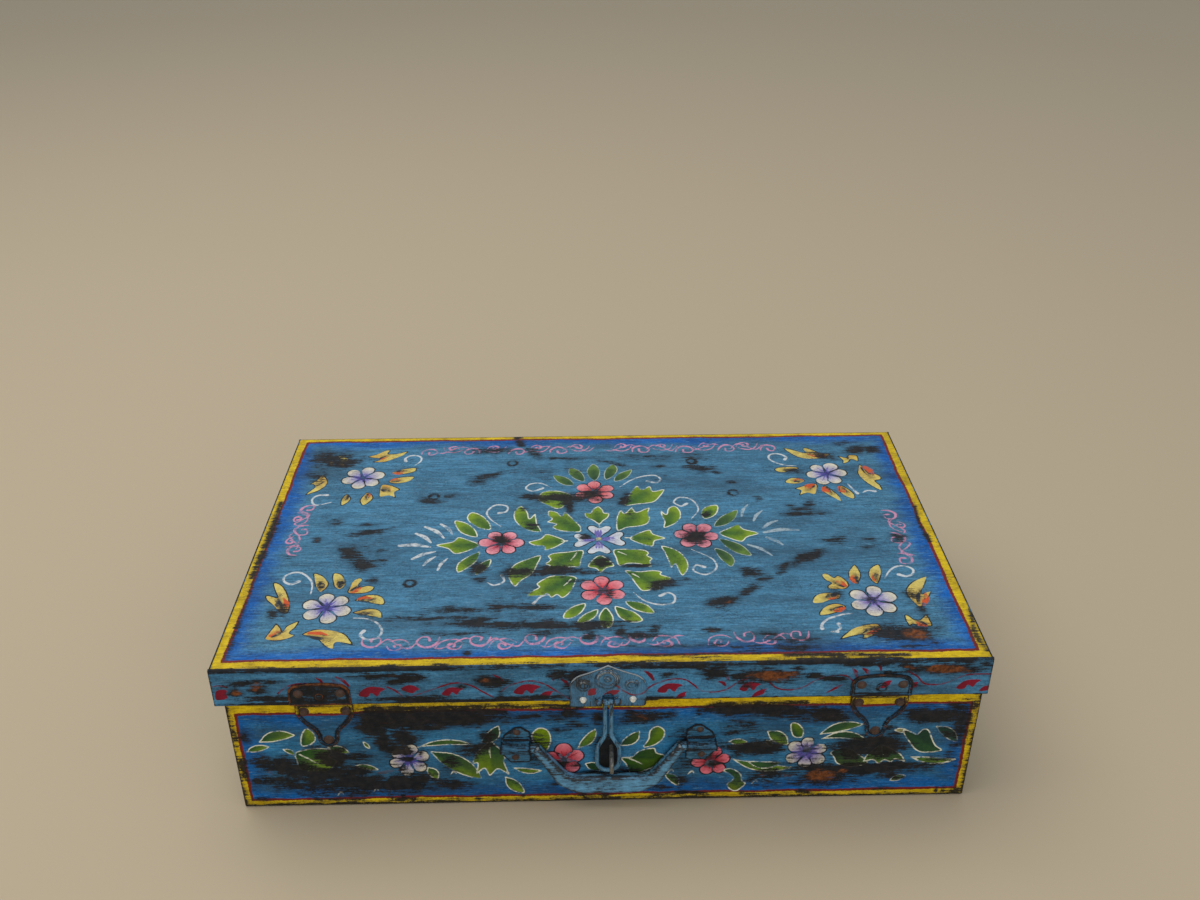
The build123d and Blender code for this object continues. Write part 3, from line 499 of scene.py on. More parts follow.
    # white curls
    for pts in ([(-91, 14), (-101, 26), (-105, 38), (-98, 50), (-87, 48), (-87, 39), (-94, 36)],
                [(84, 22), (92, 38), (87, 55), (76, 59), (70, 51), (76, 44), (82, 48)],
                [(80, -27), (97, -42), (99, -56), (89, -65), (79, -59), (82, -51), (89, -54)],
                [(-45, 79), (-56, 88), (-66, 87), (-70, 79), (-63, 74), (-54, 79)],
                [(20, 79), (30, 90), (40, 97), (54, 100), (60, 93), (56, 86), (47, 89)],
                [(-45, -90), (-52, -93), (-58, -102)],
                [(26, -89), (34, -100), (46, -106), (58, -104), (60, -95), (55, -90), (48, -94)],
                [(-98, -72), (-92, -76), (-84, -71), (-86, -62)]):
        cv.stroke(pts, [0.45, 0.8, 0.95, 0.95, 0.9, 1.6], WHITE)
    # white dashes at both sides
    for a, b, w in [((-160, 15), (-141, -4), 2.3), ((-167, 4), (-152, -11), 2.4), ((-180, -15), (-152, -18), 2.7), ((-166, -36), (-147, -25), 2.3), ((-155, -46), (-146, -33), 1.8), ((-146, 19), (-134, 2), 2.0), ((-142, -53), (-135, -36), 1.7),
                    ((131, -21), (150, -38), 2.0), ((149, -10), (162, -22), 2.2), ((148, -2), (180, 1), 2.6), ((148, 5), (163, 17), 2.1), ((141, 17), (151, 34), 1.8), ((131, 25), (139, 45), 1.7)]:
        a, b = np.array(a, float), np.array(b, float)
        n = np.array([-(b - a)[1], (b - a)[0]]) * 0.08
        cv.stroke([a, (a + b) / 2 + n, b], [w * 0.55, w, w * 0.35], WHITE if a[0] < 0 else (158, 176, 184))
    corner_sprays(cv)
    lid_scrolls(cv)
    lid_wear(cv)
    return cv


def corner_sprays(cv):
    # front left
    sprig(cv, [(-261, -111), (-259, -106), (-260, -99), (-262.5, -90), (-266.7, -80), (-273, -70.5), (-280.5, -67), (-278.5, -75), (-275, -83), (-272.5, -88.5), (-276, -87), (-283, -85), (-281, -92), (-275, -98.5), (-269, -106)], (-262, -110), 1, 1.4)
    sprig(cv, [(-271, -144), (-270, -136.5), (-267.5, -128), (-266, -123.5), (-261, -129.5), (-259, -133.5), (-256.5, -126.5), (-248, -120.5), (-249, -128.5), (-252.5, -136), (-247.5, -139), (-253, -144), (-261.5, -146)], (-268, -142), 2, 0.8, 1.2)
    sprig(cv, [(-242.5, -138.5), (-236, -133), (-228, -131.5), (-217, -133.5), (-208.5, -138), (-203, -145), (-199.5, -152.5), (-206, -150.5), (-213.5, -149.5), (-214, -157.5), (-220, -155), (-226.5, -147.5), (-230.5, -143), (-236, -141)], (-242, -138.3), 3, 1.0, 1.0)
    sprig(cv, [(-248.5, -54.5), (-241.5, -57), (-235.5, -64), (-232.5, -72), (-237, -82), (-241.5, -78.5), (-245, -70), (-247, -63)], (-238, -81), 4, 1.6, 0)
    sprig(cv, [(-231, -54.5), (-224, -57), (-219.5, -65), (-218, -73), (-222, -79), (-227, -75.5), (-229.5, -69), (-231.5, -62)], (-222, -78), 5, 1.5, 0)
    sprig(cv, [(-214.5, -84), (-214.5, -76.5), (-213.5, -67.5), (-208.5, -62), (-204.5, -65.5), (-206.7, -72), (-205, -75.5), (-199, -73.5), (-193, -76), (-195.5, -82), (-203, -85)], (-214, -83), 6, 0.7, 1.1)
    sprig(cv, [(-207, -94.5), (-200, -87.5), (-191.5, -86.5), (-185, -89.5), (-181.5, -96), (-183, -101), (-191.5, -99), (-198.5, -96)], (-206.5, -94), 7, 1.2, 1.1)
    sprig(cv, [(-206.5, -111), (-198.5, -106.5), (-190, -105.5), (-183, -109.5), (-181, -119), (-188, -117), (-197, -114.5)], (-206, -111), 8, 1.5, 0)
    # front right
    sprig(cv, [(278, -72), (271.5, -74), (263, -80), (256.5, -88), (254.5, -96), (256.5, -106), (261.7, -116), (266, -108.5), (272, -101.5), (276.5, -93), (271.5, -94), (268, -96.5), (268, -93.5), (272, -86.5), (276, -78)], (261, -115), 11, 0.9, 1.3)
    sprig(cv, [(245, -130), (246.5, -124), (250, -126.5), (252.5, -130.5), (257, -131), (260, -128), (264, -125), (265.5, -133), (264.5, -140), (255, -139), (250, -137), (246.5, -139.5), (245.5, -134.5)], (262, -139), 12, 0.6, 1.4)
    sprig(cv, [(187, -155), (195, -145.5), (201.5, -140), (211.5, -136.5), (222, -136), (223, -145), (216.5, -147), (215, -151), (208, -154.5), (205, -154.5), (206.5, -149.5), (198, -151.5)], (222, -140), 13, 0.6, 1.1)
    sprig(cv, [(188, -67), (193.5, -66.3), (198, -72), (201.7, -69), (207, -75), (209, -83), (205, -88.7), (196.7, -89), (190.5, -88), (190.5, -83.5), (194, -80), (189.5, -75.5)], (206, -87), 14, 0.6, 1.2)
    sprig(cv, [(219.5, -53.5), (222, -61.5), (222, -70), (218.5, -78.5), (216, -82.5), (211.5, -76.5), (211, -67), (214.5, -59.5)], (216, -82), 15, 0.9, 1.4)
    sprig(cv, [(240.5, -53.5), (241.3, -63), (238.5, -72), (233.5, -82), (229.5, -78.5), (228, -70), (230.3, -61.5), (235, -56)], (233, -81), 16, 1.7, 0.5)
    sprig(cv, [(173.5, -107.5), (175.5, -100), (181, -94.5), (190, -93), (199, -96), (196.7, -102), (189, -104), (181.5, -108)], (198, -96), 17, 1.3, 0.7)
    sprig(cv, [(176, -124), (179, -116.5), (185, -110.5), (193.5, -108), (200.5, -112.5), (195, -118.5), (188, -122), (181.5, -124)], (200, -112), 18, 0.3, 1.2)
    # back left
    sprig(cv, [(-270.5, 109), (-264, 100.5), (-262.5, 90), (-268, 80), (-274, 75), (-280, 71.5), (-277.5, 79), (-274, 85.5), (-276, 91), (-279.5, 91.5), (-274.5, 99)], (-266, 98), 21, 0.3, 0)
    sprig(cv, [(-269, 136), (-266, 126), (-262, 130), (-258, 138), (-263, 146), (-252, 143), (-249, 136), (-253, 131), (-247.5, 123.5), (-255, 124), (-260, 131)], (-258, 130), 22, 1.2, 0)
    sprig(cv, [(-231, 142.5), (-223, 148), (-215, 155.5), (-209.5, 155), (-211, 148.5), (-203, 148.7), (-192, 153.5), (-195, 145), (-203, 138.5), (-213, 132), (-225, 132.5), (-217.5, 138)], (-220, 137), 23, 0.7, 0.5)
    sprig(cv, [(-203.5, 112), (-195, 117.5), (-187.5, 120), (-179.5, 120.5), (-180, 113.5), (-188, 109), (-196, 108)], (-203, 112), 24, 0.8, 1.4)
    sprig(cv, [(-204, 95.5), (-195, 102.5), (-180, 104), (-183, 95), (-193, 91), (-200, 91.5)], (-203, 95), 25, 0.8, 1.4)
    sprig(cv, [(-210, 89), (-201.5, 88.5), (-191, 80.5), (-195, 75), (-193, 64.5), (-200, 68.5), (-209, 67), (-210.5, 78.5)], (-208, 87), 26, 2.0, 0.7)
    sprig(cv, [(-241, 73), (-235.5, 66), (-236.5, 58.5), (-242.5, 52), (-244.5, 62)], (-240, 74), 27, 0.8, 0)
    sprig(cv, [(-221, 76), (-214.5, 67), (-216.5, 58.5), (-222, 52), (-226.5, 60), (-225, 69)], (-220, 75), 28, 0.5, 0.4)
    # back right
    sprig(cv, [(188.5, 149.5), (195, 148), (208.5, 140), (207.5, 147), (211, 150), (218.5, 144.5), (224, 139), (234, 135.5), (221, 127.5), (205, 128.3), (195, 137)], (232, 135), 31, 0.5, 1.4)
    sprig(cv, [(242.5, 116.5), (243.5, 124), (240, 133), (248, 129), (252, 134), (260, 132.5), (259, 121), (253, 125), (249, 120)], (251, 133), 32, 0.6, 0)
    sprig(cv, [(259, 116), (255.5, 107), (253.5, 97), (256.5, 85), (263, 73.5), (270.5, 66), (271, 75.5), (268, 84), (273.5, 86), (275, 91.5), (271, 97), (265.5, 97.5), (262, 107)], (259, 114), 33, 0.3, 1.5)
    sprig(cv, [(198, 110), (190, 113.5), (176, 111.5), (173.5, 106), (180, 102), (190, 105.5)], (198, 109), 34, 1.4, 0)
    sprig(cv, [(180, 83.5), (183, 89.5), (190, 92.5), (200, 87), (195, 81.5), (186.5, 80.5)], (199, 87), 35, 1.2, 1.0)
    sprig(cv, [(210, 80), (200, 78.3), (187.5, 72), (192.5, 68.5), (190, 59.5), (198.3, 63.5), (205, 60.5), (209, 69)], (209, 79), 36, 0.3, 1.7)
    sprig(cv, [(217.5, 77), (223.8, 67), (228, 57), (228, 47), (218.8, 57.8), (213.5, 67)], (217, 76), 37, 0.3, 1.6)
    sprig(cv, [(232.5, 77), (239, 70), (243, 60), (240.5, 52), (233.5, 57), (229.5, 65.5)], (232, 76), 38, 0.3, 1.7)
    # curls of the corners
    for pts in ([(-204.5, -118), (-193.5, -119.2), (-183.5, -125.8), (-178.7, -136.5), (-182.5, -144.7), (-190, -145.5), (-195.5, -140), (-193.5, -135)],
                [(-245.5, -85), (-246.3, -73.3), (-250, -63.3), (-259, -54), (-267, -53.5), (-272.5, -59), (-271.5, -66), (-265, -70), (-259, -66)],
                [(204.5, -121.7), (195, -123.2), (183.3, -128.3), (176.7, -135), (175.5, -141)], [(182, -145), (187, -145)], [(187.5, -142.5), (190.5, -141), (190, -135.5)],
                [(241.5, -74), (246.7, -65), (253.3, -58.3), (261.7, -56.5), (268.3, -61.5), (266, -69), (260, -71.5), (254.5, -69)],
                [(-181.7, 125.3), (-176.7, 133.7), (-178.3, 142), (-186.7, 144.5), (-192.5, 139.5), (-191.7, 133)],
                [(-252.5, 58.7), (-265, 53.7), (-270, 57), (-271.7, 65.3), (-266.7, 71.2), (-259, 71.2)],
                [(195.8, 114.5), (185, 116.2), (174.2, 123.7), (170.8, 132), (175, 138.3), (183.3, 137.8), (188.3, 132), (186.5, 127)],
                [(240, 79.5), (243, 70), (246, 62)],
                [(251.7, 63.7), (256.7, 67), (263.3, 65.5)]):
        cv.stroke(pts, [0.5, 0.9, 1.05, 1.0, 1.1, 1.8], WHITE)


def lid_scrolls(cv):
    """Pink curls along the four sides: an open C, then a small spiral under an arch."""
    C = [(9, 6), (7.5, -1), (2, -5.5), (-4.5, -4), (-7.5, 1.5), (-4.5, 6.5), (1, 5.5), (1.5, 1)]
    ARCH = [(-10, 1), (-5, 5.5), (2, 6.5), (8, 3), (11.5, -5)]
    CURL = [(-7.5, 1), (-4.5, -4.5), (1, -6), (5, -2.5), (3, 1.5), (-1, 1), (-1, -1.5)]

    def chain(a, b, pitch, side, seed, faint=0.12):
        r = rng(seed)
        a, b = np.array(a, float), np.array(b, float)
        e = (b - a) / np.linalg.norm(b - a)
        n = np.array([-e[1], e[0]]) * side
        m = int(np.linalg.norm(b - a) / pitch)

        def put(shape, k, u, v, scale, widths, flip=1):
            q = np.array(shape, float) * scale + r.uniform(-0.7, 0.7, (len(shape), 2))
            q = q * (flip, 1)
            cv.stroke([tuple(a + e * (k * pitch + u + x) + n * (v + y)) for x, y in q], widths, SCROLL, n=5)
        for k in range(m + 1):
            w = r.uniform(0.62, 0.9)
            f = -1 if r.random() < 0.3 else 1
            if r.random() > faint:
                put(C, k, r.uniform(-2, 2), 2.5 + r.uniform(-1, 1), r.uniform(0.85, 1.05), [0.5, w * 1.5, w * 1.7, w, w * 0.8, w, w * 1.5], f)
            if k < m:
                if r.random() > faint * 1.5:
                    h = 1 if k % 2 else -1
                    link = [(5, -3.5), (pitch * 0.28, -6 * h), (pitch * 0.5, -1), (pitch * 0.72, 5.5 * h), (pitch - 5, 4)]
                    put(link, k, 0, 0, 1.0, [0.3, 0.75, 0.6, 0.8, 0.3])
                if r.random() > faint:
                    put(ARCH, k, pitch * 0.5 + r.uniform(-2, 2), -1.5, r.uniform(0.9, 1.1), [0.35, w, w * 0.9, w * 0.5], -f)
                if r.random() > faint:
                    put(CURL, k, pitch * 0.5 + r.uniform(-2, 2), -2.5, r.uniform(0.8, 1.0), [0.4, w, w * 1.5, w, w * 1.4], -f)
    chain((-185, -152), (165, -152), 42.5, 1, 3)
    chain((172, 154), (-172, 154), 42.5, 1, 4)
    chain((-275, 46), (-275, -44), 34, 1, 5)
    chain((270, -46), (270, 48), 34, 1, 6)


def lid_wear(cv):
    w = cv.spot
    for x, y, rx, ry, a, m in [(-262, 138, 26, 17, -25, .9), (-276, 112, 12, 26, 0, .65), (-106, 103, 20, 6, 22, .8), (-118, 92, 12, 6, 10, .6),
                               (-52, 62, 24, 8, -4, .95), (-30, 52, 10, 8, 0, .8), (-4, 66, 12, 9, 0, .8), (-45, -58, 28, 7, 4, .95), (-78, -58, 10, 8, 0, .8),
                               (-120, -109, 28, 6, 0, .75), (-85, -107, 16, 5, 3, .85), (-55, -107, 26, 4.5, -3, .8), (-104, -125, 14, 6, 15, .9), (-60, -131, 46, 7, -1, .95), (-10, -132, 34, 7, 2, .95), (-50, -141, 16, 5, 0, .8), (28, -146, 18, 6, 0, .75),
                               (-20, -72, 12, 4, 0, .7), (40, -138, 8, 5, 60, .7), (90, -140, 10, 4, 0, .8), (13, -141, 6, 8, 0, .8), (-13, -146, 7, 5, 0, .8),
                               (100, -103, 17, 7, 18, 1.0), (122, -89, 13, 5, 35, .8), (132, -63, 15, 7, -10, .8), (138, -72, 9, 4, 30, .7), (54, -76, 12, 7, 5, 1.0), (46, -82, 9, 6, 0, .9),
                               (188, -38, 17, 6, 38, .95), (163, -50, 14, 3, 22, .7), (176, -46, 6, 5, 0, .8), (155, -62, 9, 4, 40, .7),
                               (190, 28, 24, 4.5, 3, .85), (196, 44, 8, 6, 80, .8), (178, 42, 7, 4, 0, .6), (208, -15, 12, 4, 8, .6), (236, -26, 10, 4, 10, .6), (238, -15, 10, 4, 0, .5), (268, -12, 8, 8, 0, .8),
                               (-206, 8, 20, 5, 14, .85), (-222, -26, 14, 9, -50, .85), (-208, -44, 14, 9, -60, .85), (-255, -4, 6, 6, 0, .8), (-210, 20, 16, 4, 5, .6), (-196, -38, 12, 3, 12, .6), (-244, 26, 12, 8, 30, .4), (-196, -66, 8, 6, 0, .7), (-157, 58, 12, 5, 0, .7), (-142, 66, 8, 5, 30, .7), (-165, 61, 10, 5, 0, .6),
                               (60, 135, 44, 9, 0, .45), (90, 137, 14, 9, 0, .6), (100, 112, 26, 5, -6, .85), (115, 105, 8, 5, -30, .7), (60, 117, 9, 4, 0, .6), (8, 128, 14, 5, -20, .7), (20, 121, 10, 4, -20, .7), (-108, 152, 32, 7, 0, .7), (-67, 150, 7, 12, 30, .7), (-30, 135, 34, 4, 0, .5),
                               (260, 143, 14, 9, 10, .9), (278, 143, 11, 9, 30, .85), (250, 158, 14, 6, 10, .6), (226, 132, 14, 6, -20, .8), (190, 104, 10, 6, -10, .6), (128, 85, 7, 4, 0, .7), (150, 56, 5, 5, 0, .5),
                               (250, -148, 18, 11, 0, 1.0), (224, -146, 15, 12, 0, .95), (230, -150, 20, 9, 0, .9), (262, -160, 7, 6, 0, .5), (256, -100, 8, 10, 0, .6), (262, -118, 6, 12, 0, .6), (222, -104, 7, 7, 0, .6), (196, -96, 7, 8, 0, .7),
                               (-276, -30, 10, 4, 0, .4), (148, -155, 40, 8, 0, .4), (120, -162, 20, 7, 0, .55), (146, -165, 24, 6, 0, .6), (-108, -165, 4, 3, 0, .8), (240, -165, 14, 4, 0, .7), (130, -146, 12, 5, 0, .6),
                               (-78, 165, 5, 9, 25, .9), (-82, 178, 5, 4, 0, 1.0)]:
        w("wear", x, y, rx * 1.08, ry * 1.1, a, m * 1.28)
    for x, y, rx, ry, a, m in [(242, -148, 22, 10, 0, 1.5), (-40, -55, 26, 7, 0, 1.2), (0, -45, 12, 9, 0, 1.3), (30, -50, 22, 4, 0, 1.2), (-10, -60, 40, 5, 0, .8), (50, -76, 12, 6, 10, 1.4), (70, -72, 14, 4, 0, .8), (-35, 62, 36, 10, 0, 1.3), (-28, 45, 5, 14, 0, 1.1),
                               (-8, 66, 14, 8, 0, 1.4), (86, -8, 12, 12, 0, 1.5), (-90, -8, 9, 9, 0, 1.3), (-14, -5, 6, 6, 0, 1.2), (24, 56, 6, 12, -20, 1.3), (-62, 14, 7, 8, 0, 1.0), (-72, 42, 5, 6, 0, 1.0), (-66, -56, 12, 6, 0, 1.2), (-108, -50, 9, 12, 0, 1.1), (-104, -68, 8, 6, 0, 1.0),
                               (-264, -104, 6, 10, 20, 1.0), (-239, -72, 4, 8, 0, .9), (-222, -70, 4, 7, 0, .9), (-272, -112, 5, 9, 10, .9), (178, -42, 22, 7, 35, 1.2), (160, -52, 12, 4, 45, 1.0), (6, -88, 7, 7, 0, 1.0), (186, 36, 20, 5, 0, .9), (28, 30, 7, 8, -30, .7), (98, 29, 5, 6, 0, 1.1),
                               (-150, -120, 60, 4, 0, .8), (-90, -128, 50, 5, 0, 1.1), (20, -128, 10, 10, 0, .7), (-120, -140, 40, 4, 0, .7), (60, -160, 60, 3, 0, .7), (-200, -20, 30, 20, -30, .35), (100, 100, 60, 20, 0, .3), (-100, -110, 80, 30, 0, .35), (200, -20, 50, 30, 20, .3), (-50, 110, 60, 20, 0, .35)]:
        w("wear", x, y, rx, ry, a, m)
    # small round dents rubbed dark
    for x, y in ((-157, 66), (-85, 127), (93, 126), (128, 66), (-164, -72), (54, -76)):
        for k in range(14):
            t = k * 2 * math.pi / 14
            w("wear", x + 4.6 * math.cos(t), y + 4.6 * math.sin(t), 2.0, 2.0, 0, 1.0)
    # dark centres of the flowers
    for x, y, r, m in ((-89, -13, 6, .9), (86, -4, 10, 1.0), (-2, 64, 9, .95), (0, -88, 7, .75), (-16, -8, 4, .8), (-5, 61, 5, .9)):
        w("wear", x, y, r, r, 0, m)
    # streaked, worn parts of the border
    for a, b, m in [((-300, -179), (150, -178), .5), ((20, -171), (130, -169), .8), ((140, -173), (238, -175), 1.0), ((150, -178), (230, -179), 1.0), ((60, -173), (98, -175), .7), ((-40, -180), (30, -179), .9)]:
        cv.streak("wear", [a, ((a[0] + b[0]) / 2, (a[1] + b[1]) / 2), b], 2.6, m)
    cv.streak("wear", [(-300, -60), (-299, 0), (-300, 60)], 3.4, 1.0)
    cv.streak("wear", [(-296, -170), (-297, -60), (-296, 40)], 3.0, .6)
    cv.streak("wear", [(302, -120), (297, -150), (300, -170)], 3.5, .9)
    cv.streak("wear", [(295, 40), (292, 10), (294, -20)], 2.4, .8)
    for x, y, rx, ry, a, m in [(250, -150, 15, 9, 0, .9), (225, -150, 11, 8, 0, .35), (-85, -107, 9, 4, 3, .45), (104, -104, 9, 4, 18, .5), (-110, -108, 8, 4, 0, .3), (88, -141, 8, 3, 0, .6), (-255, -4, 4, 4, 0, .5), (-4, 62, 7, 5, 0, .4), (134, -66, 8, 4, 0, .3), (-262, 138, 14, 8, 0, .25)]:
        w("rust", x, y, rx, ry, a, m)
    n = cv.X.shape
    cv.haze = np.clip(cv.haze + np.clip(smooth_noise(n, 42, 77, 4, (0.55, 2.4)) - 0.47, 0, 1) * 2.2, 0, 1)
# ------------------------------------------------------------------ lid sides
def crimson_leaf(cv, x, z, L=20, H=8, flip=1, tilt=0.0, lobes=3):
    """A leaf of the vine: a curved back with pointed lobes underneath."""
    c, s = math.cos(tilt), math.sin(tilt)
    up = [(-0.5, -0.3), (-0.34, 0.18), (-0.1, 0.46), (0.18, 0.42), (0.5, 0.12)]
    low = []
    for k in range(lobes - 1):
        u = 0.30 - k * 0.34
        low += [(u, -0.12), (u - 0.16, -0.55)]
    pts = [(x + (u * L * c - v * H * s) * flip, z + u * L * s + v * H * c) for u, v in up + low]
    cv.shape(curve(pts, closed=True, n=3), CRIMSON, (140, 22, 48), ((x - L / 2, z), (x + L / 2, z)))


def vine(cv, pts, w=0.75):
    cv.stroke(pts, [w, w], CRIMSON, n=8)


def flange_ground(cv, seed, field=(66, 126, 164)):
    n = cv.X.shape
    var = smooth_noise(n, 22, seed, 4, (0.6, 2.6))[..., None]
    k = smooth_noise(n, 30, seed + 1, 3, (0.6, 3))[..., None]
    cv.ground = paint(field) * (0.80 + 0.42 * var) * (1 - 0.4 * k) + paint((52, 100, 126)) * 0.4 * k


def edge_wear(cv, seed, top=1.0, low=0.7, ends=0.8, size=2.4):
    """Paint rubbed off along a panel's edges."""
    n = cv.X.shape
    y0, y1, x0, x1 = cv.ys[0], cv.ys[-1], cv.xs[0], cv.xs[-1]
    a = smooth_noise(n, 24, seed, 3, (1, 2))
    for d, m in ((y1 - cv.Y, top), (cv.Y - y0, low), (cv.X - x0, ends), (x1 - cv.X, ends)):
        cv.wear = np.maximum(cv.wear, np.exp(-d / (size * (0.35 + 1.6 * a))) * m * (0.55 + 0.8 * a))


def lid_front():
    p = 1.0
    cv = Canvas(np.arange(LX0, LX1 + 0.01, p), np.arange(FZ, LZ - BEND + 0.01, p))
    flange_ground(cv, 21)
    cv.shift = lambda q: q + np.stack([np.interp(q[:, 0], [-310, -200, -100, 60, 100, 200, 310], [0, 0, 1.5, 1.5, 1, -2, 1]),
                                       np.interp(q[:, 0], [-310, -200, 200, 310], [-2.2, -2.4, -2.2, -1.0])], -1)
    for pts in ([(-306, 137), (-300, 138), (-294, 136)], [(-256, 129), (-248, 136), (-236, 139), (-222, 138), (-208, 139), (-200, 132)],
                [(-158, 122), (-148, 126), (-136, 131), (-120, 137), (-108, 135), (-98, 128), (-90, 122)],
                [(-84, 127), (-76, 134), (-62, 138), (-50, 135), (-40, 127), (-30, 119)],
                [(6, 134), (12, 128), (20, 123), (28, 125), (36, 132), (48, 137), (60, 137), (68, 131), (74, 125), (84, 123.5), (94, 126), (104, 134), (112, 137)],
                [(128, 133), (136, 126), (148, 124.5), (158, 128), (166, 134), (178, 138), (190, 138), (198, 131)],
                [(238, 141), (246, 135), (252, 128), (264, 127), (274, 131), (284, 136), (302, 136.5)]):
        vine(cv, pts)
    for x, z, L, H, f, t, k in [(-300, 129, 13, 10, 1, .5, 2), (-183, 130, 22, 10, 1, .1, 3), (-153, 132, 14, 8, 1, -.25, 2), (-121, 129, 18, 8, 1, .15, 3),
                                (-63, 130, 22, 10, 1, .08, 3), (-48, 124.5, 13, 5, 1, .3, 2), (-12, 127, 9, 7, 1, .5, 2), (4, 126, 14, 5, 1, .15, 2), (49, 129, 21, 9, 1, .12, 3),
                                (58, 120.5, 13, 4.5, 1, .65, 2), (113, 129, 18, 9, 1, .1, 3), (121, 122, 15, 5, 1, .5, 2), (222, 130, 11, 5, 1, .5, 2), (244, 127, 9, 5, 1, .6, 2),
                                (286, 127, 20, 8, 1, .25, 3), (300, 122, 11, 5, 1, .35, 2)]:
        crimson_leaf(cv, x, z, L, H, f, t, k)
    for a, b, w in [((-224, 144), (-220, 138), 1.2), ((-214, 143), (-210, 138), 1.1), ((-209, 145), (-200, 136), 1.6), ((-172, 135), (-160, 125), 1.0), ((-89, 145), (-80, 136), 1.2), ((-45, 143), (-42, 138), 1.2),
                    ((-36, 139), (-31, 133), 1.6), ((29, 146), (36, 137), 1.7), ((88, 134), (93, 130), 1.5), ((91, 141), (95, 136), 1.4), ((176, 121), (188, 129), 1.2), ((195, 145), (199, 136), 1.7), ((203, 145), (208, 138), 1.7), ((213, 149), (217, 143), 1.3)]:
        cv.stroke([a, ((a[0] + b[0]) / 2 + 0.8, (a[1] + b[1]) / 2 + 0.6), b], [w * 0.5, w, w * 0.6], CRIMSON)
    w = cv.spot
    for x, z, rx, rz, a, m in [(-284, 137, 13, 4, 0, .8), (-262, 139, 14, 4, 0, .7), (-272, 131, 9, 5, 0, .9), (-288, 128, 8, 5, 0, .85), (-262, 122, 30, 4, 0, .85), (-232, 119, 24, 3, 0, .7), (-222, 128, 15, 8, 0, .7),
                               (-176, 143, 20, 3.4, 0, .85), (-152, 141, 14, 5, 0, .95), (-164, 137, 8, 3, 0, .7), (-150, 119, 38, 4, 0, .95), (-95, 137, 9, 5, 0, .9), (-112, 131, 8, 4, 0, .6), (-82, 122, 6, 5, 60, .7),
                               (-36, 141, 10, 6, 0, .8), (-30, 130, 5, 5, 0, .7), (-60, 118, 60, 3, 0, .85), (48, 139, 7, 4, 0, .7), (86, 140, 12, 6, 0, .95), (92, 147, 14, 3, 0, .6), (106, 137, 10, 5, 0, .85), (132, 137, 24, 6.5, 0, 1.0), (150, 144, 12, 3, 0, .6),
                               (164, 136, 9, 4, 0, .8), (178, 133, 12, 3.5, 0, .95), (110, 130, 6, 8, 40, .6), (206, 147, 30, 2.4, 0, .9), (222, 138, 18, 3, 0, .6), (240, 142, 16, 4, -20, .9), (268, 141, 22, 5.5, -3, 1.0), (246, 124, 8, 4, 0, .5), (298, 147, 8, 5, 0, .7),
                               (-245, 115.5, 46, 3, 0, 1.3), (-110, 115.5, 66, 2.6, 0, 1.3), (40, 116, 30, 2, 0, 1.0), (-195, 148.4, 100, 1.3, 0, 1.2), (160, 148.4, 70, 1.1, 0, .9), (-200, 147.5, 60, 1.2, 0, .7), (60, 147, 60, 1.5, 0, .8), (-20, 139, 12, 8, 0, 1.1), (-88, 135, 14, 6, 0, 1.1), (128, 137, 30, 8, 0, .9), (262, 141, 34, 6, 0, 1.0)]:
        w("wear", x, z, rx, rz, a, m * 1.3)
    for x, z, rx, rz, a, m in [(-272, 134, 7, 5, 20, 1.0), (-288, 128, 6, 4, 0, .95), (-168, 143, 20, 3, 0, .5), (-93, 137, 6, 4, 0, .7), (132, 137, 24, 6.5, 0, 1.0), (266, 141, 24, 6, -3, 1.0), (238, 143, 12, 3, -15, .7), (-62, 117, 16, 2, 0, .5), (-135, 119, 18, 2.5, 0, .4)]:
        w("rust", x, z, rx, rz, a, m)
    edge_wear(cv, 22, .72, .9, .8, 1.1)
    cv.haze = np.clip(smooth_noise(cv.X.shape, 20, 23, 4, (0.5, 3)) - 0.42, 0, 1) * 2.4
    return cv


def lid_side(x0, x1, seed, low=FZ):
    """The lid sides that aren't seen: the same vine, by a quicker hand."""
    p = 1.3
    cv = Canvas(np.append(np.arange(x0, x1 - p / 2, p), x1), np.append(np.arange(low, LZ - BEND - p / 2, p), LZ - BEND))
    flange_ground(cv, seed)
    r = rng(seed)
    x, k = x0 + 8, 0
    while x < x1 - 40:
        L = r.uniform(62, 74)
        up = 1 if k % 2 else -1
        vine(cv, [(x, 131 - 6 * up), (x + L * .25, 131), (x + L * .5, 131 + 6.5 * up), (x + L * .75, 131 + 1 * up), (x + L, 131 - 6 * up)])
        crimson_leaf(cv, x + L * .5, 131 - 3 * up, r.uniform(16, 22), r.uniform(7, 10), 1, r.uniform(-.1, .35), 3)
        cv.stroke([(x + L * .8, 131 + 9 * up), (x + L * .8 + 5, 131 + 3 * up)], [0.8, 1.5], CRIMSON)
        x += L * 0.97
        k += 1
    for _ in range(int((x1 - x0) / 40)):
        cv.spot("wear", r.uniform(x0, x1), r.uniform(low, LZ), r.uniform(6, 24), r.uniform(2.5, 5), 0, r.uniform(.5, 1))
    for _ in range(int((x1 - x0) / 110)):
        cv.spot("rust", r.uniform(x0, x1), r.uniform(low + 8, LZ - 6), r.uniform(8, 18), r.uniform(3, 6), 0, r.uniform(.6, 1))
    cv.wear = np.maximum(cv.wear, cv.rust)
    edge_wear(cv, seed + 5, .75, .9, .8, 1.2)
    cv.haze = np.clip(smooth_noise(cv.X.shape, 20, seed + 6, 4, (0.5, 3)) - 0.48, 0, 1) * 2.2
    return cv


